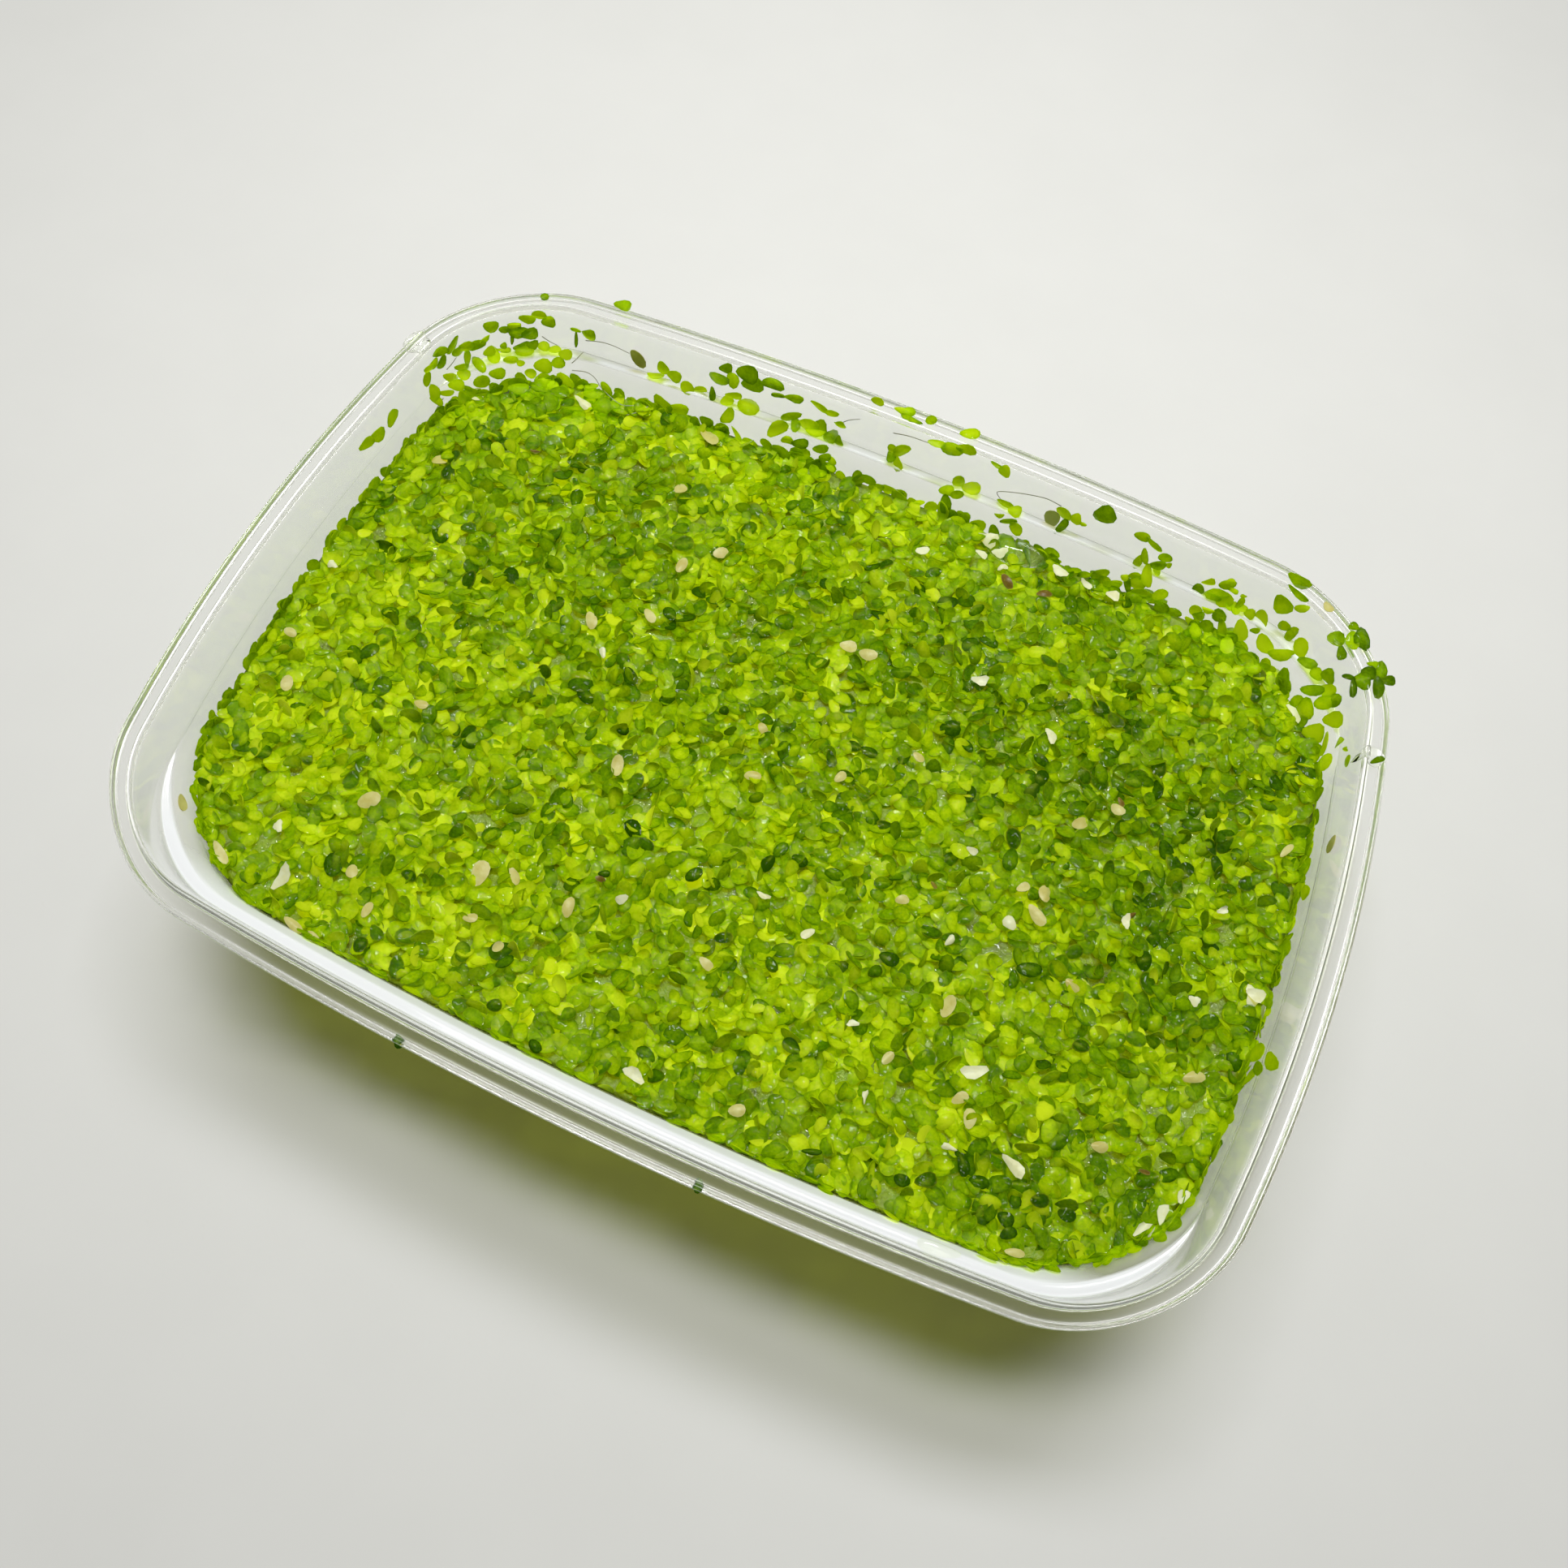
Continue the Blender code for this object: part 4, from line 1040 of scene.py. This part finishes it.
        (1697, 848, 26, 14, 90, D), (1701, 827, 20, 14, 90, M), (1710, 840, 16, 12, 0, D),
        (1690, 820, 14, 8, 0, B), (1696, 938, 18, 8, -20, O),
    ],
}

# Pale fronds and white scraps in the mat and on the tub: (pixel x, pixel y, length, width,
# angle), beige first
BEIGE_FRONDS = [
    (593, 1078, 30, 21, -71), (1167, 1242, 27, 18, -64), (1276, 1130, 29, 14, 55),
    (456, 988, 28, 18, -18), (908, 1369, 20, 16, -6), (274, 1053, 36, 12, 61),
    (1194, 1379, 24, 16, -84), (761, 946, 24, 15, -82), (701, 1120, 24, 14, -73),
    (1286, 1103, 20, 16, -83), (363, 1141, 26, 12, 41), (1353, 1414, 20, 14, 6),
    (1329, 1017, 20, 14, -19), (435, 1075, 17, 15, 86), (1069, 809, 22, 13, 16),
    (1182, 1354, 20, 14, -24), (1249, 1544, 24, 11, 9), (874, 542, 24, 16, 48),
    (870, 1189, 20, 12, 44), (454, 1123, 20, 11, -58), (839, 606, 15, 13, -32),
    (581, 1133, 17, 11, -6), (888, 685, 18, 12, -14), (729, 766, 20, 14, 76),
    (388, 1157, 20, 11, 44), (1320, 1215, 20, 12, 42), (1093, 1305, 18, 12, -45),
    (542, 570, 18, 13, 4), (635, 1081, 22, 11, 67), (801, 762, 18, 11, 56),
    (927, 958, 20, 12, 9), (355, 845, 18, 14, -75), (1111, 1110, 16, 11, 0),
    (840, 700, 18, 12, -59), (615, 1169, 15, 11, -31), (1259, 1096, 16, 11, -22),
    (1131, 936, 15, 11, 41), (1583, 1050, 20, 9, -45), (359, 781, 15, 11, 33),
    (1470, 1328, 26, 15, -8), (1375, 1000, 18, 12, 30), (1045, 800, 20, 14, 20),
    (940, 900, 15, 10, 60), (1035, 960, 16, 11, -40), (520, 870, 16, 11, 20),
]
BROWN_SCRAPS = [
    (1240, 718, 20, 10, 60), (1286, 733, 18, 10, 0), (740, 1084, 12, 7, 20),
    (1150, 1092, 10, 6, 50), (1408, 1445, 14, 5, 20), (1380, 990, 12, 7, 60),
    (660, 560, 12, 6, 30), (1056, 1090, 9, 6, 10), (1392, 1130, 12, 6, -30),
]
WHITE_SCRAPS = [
    (1216, 668, 26, 14, 22), (1231, 684, 18, 10, -8), (1209, 685, 15, 9, 40),
    (1198, 1322, 31, 17, -5), (350, 1083, 33, 16, -49),
    (781, 1325, 27, 15, 36), (1543, 1228, 25, 20, 86), (1430, 1496, 24, 13, -73),
    (1294, 908, 21, 12, 77), (1594, 880, 23, 11, 54), (1243, 1137, 18, 15, 64),
    (719, 500, 20, 9, 38), (1304, 707, 20, 10, 35), (1207, 841, 19, 11, 6),
    (994, 1152, 18, 11, -30), (1404, 1515, 24, 10, -36), (1136, 682, 16, 11, -19),
    (1386, 1137, 17, 10, -85), (344, 1019, 14, 12, 86), (1337, 723, 16, 8, 33),
    (1470, 1234, 14, 11, 39), (766, 1110, 15, 11, -23), (1167, 1414, 18, 8, 19),
    (1503, 1124, 14, 8, -17), (410, 697, 12, 10, 52), (743, 806, 12, 8, 82),
    (940, 1106, 16, 7, 22), (1370, 737, 16, 10, 30), (1545, 1228, 22, 16, 20),
    (1562, 1250, 20, 16, 60), (1455, 1475, 18, 14, -50), (1248, 1438, 34, 14, 47),
    (1235, 700, 11, 9, -32), (1065, 1352, 15, 6, -82), (1422, 1522, 12, 8, -78),
    (1197, 1050, 14, 8, 30), (1170, 1160, 14, 9, -50), (1050, 1262, 14, 8, 0),
]
DARK_FRONDS = [
    (716, 846, 30, 24, 0), (722, 860, 22, 16, 40), (768, 902, 14, 11, 0),
    (892, 878, 12, 10, 0), (1095, 1183, 24, 17, 20), (1078, 1198, 18, 15, -30),
    (1140, 1455, 26, 20, -10), (1186, 1436, 28, 15, 80), (1205, 1457, 24, 17, 10),
    (1280, 1480, 22, 18, 0), (1238, 1503, 22, 18, 40), (1313, 1497, 22, 17, 20),
    (1241, 1520, 20, 16, -20), (1250, 1480, 18, 15, 90), (1267, 1196, 30, 18, 5),
    (985, 1062, 20, 14, 30), (855, 1080, 22, 15, -30), (950, 1190, 20, 14, 60),
    (610, 1240, 18, 16, 0), (445, 1165, 20, 16, -60), (1170, 900, 24, 18, 10),
    (505, 1080, 18, 14, 30), (1330, 1290, 20, 16, 10), (1110, 1455, 20, 16, 20),
    (745, 1078, 14, 8, 0), (660, 1290, 18, 14, 50), (1000, 1420, 24, 8, 5),
]

ON_WALL = [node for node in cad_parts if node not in
           ("tub", "water", "duckweed_mat", "rim_drop_left", "rim_drop_right", "wall_drop_near")]
NEAR_NODE = 3.0
DARKER_ON_RIM = 0.35


def distance_to(node, place):
    """How far a place is from a CAD node's box, in millimetres."""
    low, high = (Vector(corner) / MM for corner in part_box(node))
    past = [max(low[k] - place[k], 0, place[k] - high[k]) for k in range(3)]
    return Vector(past).length


def photo_rows(rng, rows, rise, layer, lean, flat, cup, floor_height=MAT_TOP):
    """Frond rows from the photograph's rows: rise off what carries them, up to a further
    layer in millimetres, and lean in degrees."""
    place, along, up, size, tone = [], [], [], [], []
    for px, py, length, width, angle, shade in rows:
        spot, normal, way, half_length, half_width = spread_at(px, py, length, width, angle,
                                                               floor_height)
        across = normal.cross(way)
        turn = radians(rng.normal(0, lean))
        tilt = radians(rng.normal(0, lean * 0.6))
        facing = (normal + across * sin(turn) + way * sin(tilt)).normalized()
        place.append(spot + normal * (rise + rng.uniform(0, layer)))
        along.append(way - facing * way.dot(facing))
        up.append(facing)
        size.append((half_length, half_width, flat * rng.uniform(0.8, 1.3)))
        tone.append(shade + rng.normal(0, 0.04))
    return shaped(rng, place, along, up, size, tone, cup, (-0.05, 0.14))


def joined(first, second):
    """Both sets of rows as one."""
    return {key: np.concatenate([first[key], second[key]]) for key in first}


def within_box(rows):
    """Moves fronds that would reach past the CAD model's box back into it."""
    points = frond_points(rows)
    low, high = (np.array(corner) / MM for corner in cad_box)
    rows["place"] += np.maximum(low - points.min(axis=1), 0)
    rows["place"] -= np.maximum(points.max(axis=1) - high, 0)
    return rows


def wall_pieces():
    """The fronds on the walls and rim, one piece for each CAD cluster they lie in."""
    seen = [row for name, group in WALL_FRONDS.items() for row in group if name != "rims"]
    rows = photo_rows(rng, seen, rise=0.35, layer=0.8, lean=14, flat=0.13, cup=(0.05, 0.28))
    on_rim = photo_rows(rng, WALL_FRONDS["rims"], rise=0.25, layer=0.3, lean=8, flat=0.12,
                        cup=(0.02, 0.1), floor_height=RIM_TOP)
    on_rim["tone"] -= DARKER_ON_RIM
    rows = joined(rows, on_rim)
    rows["ragged"] = rng.uniform(0.03, 0.13, len(rows["ragged"]))
    rows = within_box(rows)
    nearest = []
    for place in rows["place"]:
        away = {node: distance_to(node, place) for node in ON_WALL}
        node = min(away, key=away.get)
        nearest.append(node if away[node] < NEAR_NODE else "more")
    nearest = np.array(nearest)
    for node in sorted(set(nearest)):
        chosen = some(rows, nearest == node)
        slot = "duckweed_leaf_dark" if chosen["tone"].mean() < O else "duckweed_leaf"
        name = "leaves_" + node
        dress(frond_piece(name, chosen), THIN_LEAF, slot, *([] if node == "more" else [node]))


wall_pieces()

# Fronds caught under the near side's rim; their very dark tone, 0.05, is painted shade under the
# rim
UNDER_RIM_FRONDS_PAINTED_DARK = [(487, 1288, 17, 11, 80, 0.05), (857, 1468, 18, 12, 95, 0.05)]
caught = photo_rows(rng, UNDER_RIM_FRONDS_PAINTED_DARK, rise=-0.25, layer=0.02, lean=3, flat=0.1,
                    cup=(0.0, 0.04), floor_height=UNDER_RIM)
dress(frond_piece("fronds_under_rim", within_box(caught)), LEAF, "duckweed_leaf_dark")


# Pieces in the mat: name, rows, tone, how they lie, spread of raggedness, material and slot
LOOSE_PIECES = [
    ("beige_fronds", BEIGE_FRONDS, 0.55, dict(rise=0.55, layer=0.4, lean=9, flat=0.16,
     cup=(0.05, 0.14)), None, BLEACHED, "duckweed_leaf_bleached"),
    ("brown_scraps", BROWN_SCRAPS, 0.02, dict(rise=0.4, layer=0.3, lean=20, flat=0.12,
     cup=(0.1, 0.2)), None, BLEACHED, "duckweed_leaf_bleached"),
    ("white_scraps", WHITE_SCRAPS, 0.95, dict(rise=0.5, layer=0.4, lean=12, flat=0.1,
     cup=(0.1, 0.25)), (0.12, 0.3), BLEACHED, "duckweed_leaf_bleached"),
    ("dark_fronds", DARK_FRONDS, 0.03, dict(rise=0.5, layer=0.4, lean=8, flat=0.3,
     cup=(-0.12, 0.1)), None, LEAF, "duckweed_leaf_dark"),
]
for name, seen_rows, tone, lie, ragged, material, slot in LOOSE_PIECES:
    loose = photo_rows(rng, [(*row, tone) for row in seen_rows], **lie)
    if ragged:
        loose["ragged"] = rng.uniform(*ragged, len(loose["ragged"]))
    dress(frond_piece(name, loose), material, slot)

# Dead fronds and pale scraps on the tub: piece, pixel row, tone and the CAD node stood for
TUB_SCRAPS = [
    ("beige_far", (787, 440, 25, 13, 58), 0.62, "bleached_frond_far"),
    ("beige_right", (1643, 1040, 20, 10, 100), 0.6, "bleached_frond_right"),
    ("beige_left", (222, 990, 20, 11, 90), 0.6, None),
    ("pale_far", (1297, 637, 24, 20, -70), 0.95, None),
    ("pale_corner", (587, 488, 18, 17, 0), 0.85, None),
    ("dead_in_rim", (1635, 750, 14, 9, 50), 0.5, None),
]
for name, row, tone, node in TUB_SCRAPS:
    scrap = photo_rows(rng, [(*row, tone)], rise=0.3, layer=0.1, lean=6, flat=0.14,
                       cup=(0.05, 0.1))
    dress(frond_piece(name, scrap), BLEACHED, "duckweed_leaf_bleached",
          *([node] if node else []))


# Drops and roots
def drop_piece(name, px, py, length, width, angle, height, *nodes, floor_height=MAT_TOP):
    """A drop of water lying on whatever the pixel shows."""
    rings, around = 7, 20
    spot, normal = meets(px, py, floor_height)
    turn = radians(angle)
    along = (on_plane(px + 3 * cos(turn), py + 3 * sin(turn), spot, normal) - spot) / 3
    across = normal.cross(along).normalized() * along.length
    top, bottom = [], []
    for ring in range(rings + 1):
        r = sin(pi / 2 * ring / rings)
        for k in range(around):
            a = 2 * pi * k / around
            r_here = r * (1 + 0.05 * sin(3 * a + 1) + 0.04 * sin(2 * a))
            plain = spot + along * (length / 2 * r_here * cos(a))
            plain += across * (width / 2 * r_here * sin(a))
            base, _, _, _ = SHELL_TREE.ray_cast(plain + normal * 4, -normal, 8)
            base = plain if base is None or spot.z <= floor_height else base
            swelling = height * (1 - r * r) ** 0.6
            top.append(base + normal * (swelling + 0.02))
            bottom.append(base - normal * 0.03)
    sections = [np.array(bottom[i * around:(i + 1) * around]) for i in range(1, rings + 1)]
    sections += [np.array(top[i * around:(i + 1) * around]) for i in range(rings, 0, -1)]
    points, faces = lofted(sections)
    dress(mesh_piece(name, points, faces), WATER, "pond_water", *nodes)


drop_piece("drop_left", 510, 421, 32, 17, -38, 0.8, "rim_drop_left")
drop_piece("drop_right", 1691, 932, 26, 24, 80, 0.9, "rim_drop_right")
drop_piece("drop_near", 1156, 1538, 58, 20, 19, 0.7, "wall_drop_near")
drop_piece("bubble_far", 1250, 680, 78, 40, 24, 2.0, floor_height=36.7)


def tube_faces(count, sides):
    """Faces of a tube of rings, its two ends filled."""
    faces = []
    for ring in range(count - 1):
        faces += band(ring * sides, (ring + 1) * sides, sides)
    last = (count - 1) * sides
    return [*faces, tuple(range(sides))[::-1], tuple(last + k for k in range(sides))]


def tubes_piece(name, paths, radius, sides, material, slot):
    """One mesh of thin tubes along paths, each tapering a little to its end."""
    points, faces = [], []
    for path in paths:
        path = np.array(path, float)
        way = np.gradient(path, axis=0)
        way /= np.linalg.norm(way, axis=1, keepdims=True)
        aside = np.cross(way, (0.31, 0.52, 0.2))
        aside /= np.linalg.norm(aside, axis=1, keepdims=True)
        other = np.cross(way, aside)
        first = len(points)
        for k, p in enumerate(path):
            wide = radius * (1 - 0.4 * k / len(path))
            for side in range(sides):
                a = 2 * pi * side / sides
                points.append(p + wide * (cos(a) * aside[k] + sin(a) * other[k]))
        faces += [tuple(first + k for k in face) for face in tube_faces(len(path), sides)]
    return dress(mesh_piece(name, points, faces), material, slot)


# Roots dried onto the walls, as pixel paths
WALL_ROOTS = [
    [(668, 414), (677, 420), (687, 425)],
    [(722, 419), (741, 421), (757, 426), (776, 435)],
    [(705, 456), (722, 458), (733, 465), (742, 479), (755, 492), (768, 500), (787, 500)],
    [(705, 447), (712, 441), (720, 433)],
    [(546, 490), (536, 506), (527, 526), (518, 553)],
    [(1036, 521), (1047, 517), (1060, 516)],
    [(1308, 623), (1293, 615), (1279, 611), (1256, 607), (1233, 605), (1229, 608), (1236, 618)],
    [(1101, 533), (1121, 537), (1144, 545), (1165, 552)],
    [(803, 498), (790, 507), (772, 512)],
    [(550, 455), (556, 448), (562, 440)],
]


def smoothed(path, steps=5):
    """A path through the points as a Catmull-Rom curve."""
    ends = [path[0] * 2 - path[1], *path, path[-1] * 2 - path[-2]]
    out = []
    for k in range(len(path) - 1):
        a, b, c, d = ends[k:k + 4]
        for s in range(steps):
            t = s / steps
            out.append(0.5 * (2 * b + (c - a) * t + (2 * a - 5 * b + 4 * c - d) * t * t
                              + (3 * b - a - 3 * c + d) * t**3))
    return [*out, path[-1]]


def wall_root_paths():
    """The roots on the walls as paths in space."""
    paths = []
    for pixels in WALL_ROOTS:
        path = []
        for x, y in smoothed([np.array(p, float) for p in pixels]):
            place, normal = meets(x, y)
            path.append(place + normal * 0.12)
        paths.append(path)
    return paths


def hanging_root_paths(count):
    """Roots hanging in the water under the mat."""
    spots = np.column_stack([rng.uniform(-84, 84, count), rng.uniform(-57, 57, count)])
    spots = spots[over_water(spots, 3)]
    paths = []
    for x, y in spots:
        length = rng.uniform(5, 20)
        lean = rng.normal(0, 0.12, 2)
        curl = rng.uniform(0, 2 * pi, 2)
        path = []
        for k in range(7):
            t = k / 6
            path.append((x + lean[0] * length * t + 0.5 * t * sin(5 * t + curl[0]),
                         y + lean[1] * length * t + 0.5 * t * sin(5 * t + curl[1]),
                         34.8 - length * t))
        if wall_gap(np.array(path)).min() > 0.5:
            paths.append(path)
    return paths


tubes_piece("wall_roots", wall_root_paths(), 0.09, 5, DRIED_ROOT, "duckweed_leaf_bleached")
tubes_piece("hanging_roots", hanging_root_paths(800), 0.1, 3, ROOT, "duckweed_leaf_bleached")

# Floor, light and camera
FLOOR_REACH, FLOOR_HEIGHT = 900, -0.15
corners = [(x * FLOOR_REACH, y * FLOOR_REACH, FLOOR_HEIGHT)
           for x, y in ((-1, -1), (1, -1), (1, 1), (-1, 1))]
floor = mesh_piece("floor", corners, [(0, 1, 2, 3)], smooth=False)
floor.data.materials.append(floor_material())

scene = bpy.context.scene
scene.view_settings.view_transform = "Standard"
scene.cycles.transparent_max_bounces = 32
scene.cycles.caustics_refractive = False
scene.cycles.caustics_reflective = False


def soft_room():
    """A pale room whose light on the scene is weaker than its look in the background."""
    world = bpy.data.worlds.new("soft_room")
    world.use_nodes = True
    nodes, link = world.node_tree.nodes, world.node_tree.links.new
    rays = nodes.new("ShaderNodeLightPath").outputs
    seen = nodes.new("ShaderNodeMath")
    seen.operation = "MAXIMUM"
    strength = nodes.new("ShaderNodeMapRange")
    strength.inputs["To Min"].default_value = ROOM_LIGHT
    strength.inputs["To Max"].default_value = ROOM_SEEN
    link(rays["Is Camera Ray"], seen.inputs[0])
    link(rays["Is Transmission Ray"], seen.inputs[1])
    link(seen.outputs[0], strength.inputs["Value"])
    link(strength.outputs["Result"], nodes["Background"].inputs["Strength"])
    nodes["Background"].inputs["Color"].default_value = ROOM_COLOUR
    return world


ROOM_COLOUR = (1.0, 1.0, 0.9, 1)
ROOM_LIGHT, ROOM_SEEN = 0.06, 0.72
scene.world = soft_room()

# The lamp, in metres: its sizes grow with its distance, and its power with the square of it
KEY_DISTANCE = 0.65
KEY_PLACE = Vector((-0.07, 0.28, 0.955)) * KEY_DISTANCE
KEY_AIM = Vector((0, 0, 0.035))
key_data = bpy.data.lights.new("softbox", "AREA")
key_data.shape = "RECTANGLE"
key_data.size = 0.54 * KEY_DISTANCE
key_data.size_y = 0.166 * KEY_DISTANCE
key_data.energy = 9.8 * KEY_DISTANCE**2
key_data.color = (1.0, 1.0, 0.985)
key = bpy.data.objects.new("softbox", key_data)
key.location = KEY_PLACE
key.rotation_euler = (KEY_AIM - KEY_PLACE).to_track_quat("-Z", "Y").to_euler()
scene.collection.objects.link(key)

camera_data = bpy.data.cameras.new("camera")
SENSOR = 36
camera_data.sensor_width = SENSOR
camera_data.lens = SENSOR * FOCAL / FRAME
camera_data.clip_start = 0.01
camera = bpy.data.objects.new("camera", camera_data)
axes = Matrix((RIGHT, -DOWN, -FORWARD)).transposed()
camera.matrix_world = Matrix.Translation(EYE * MM) @ axes.to_4x4()
scene.collection.objects.link(camera)
scene.camera = camera
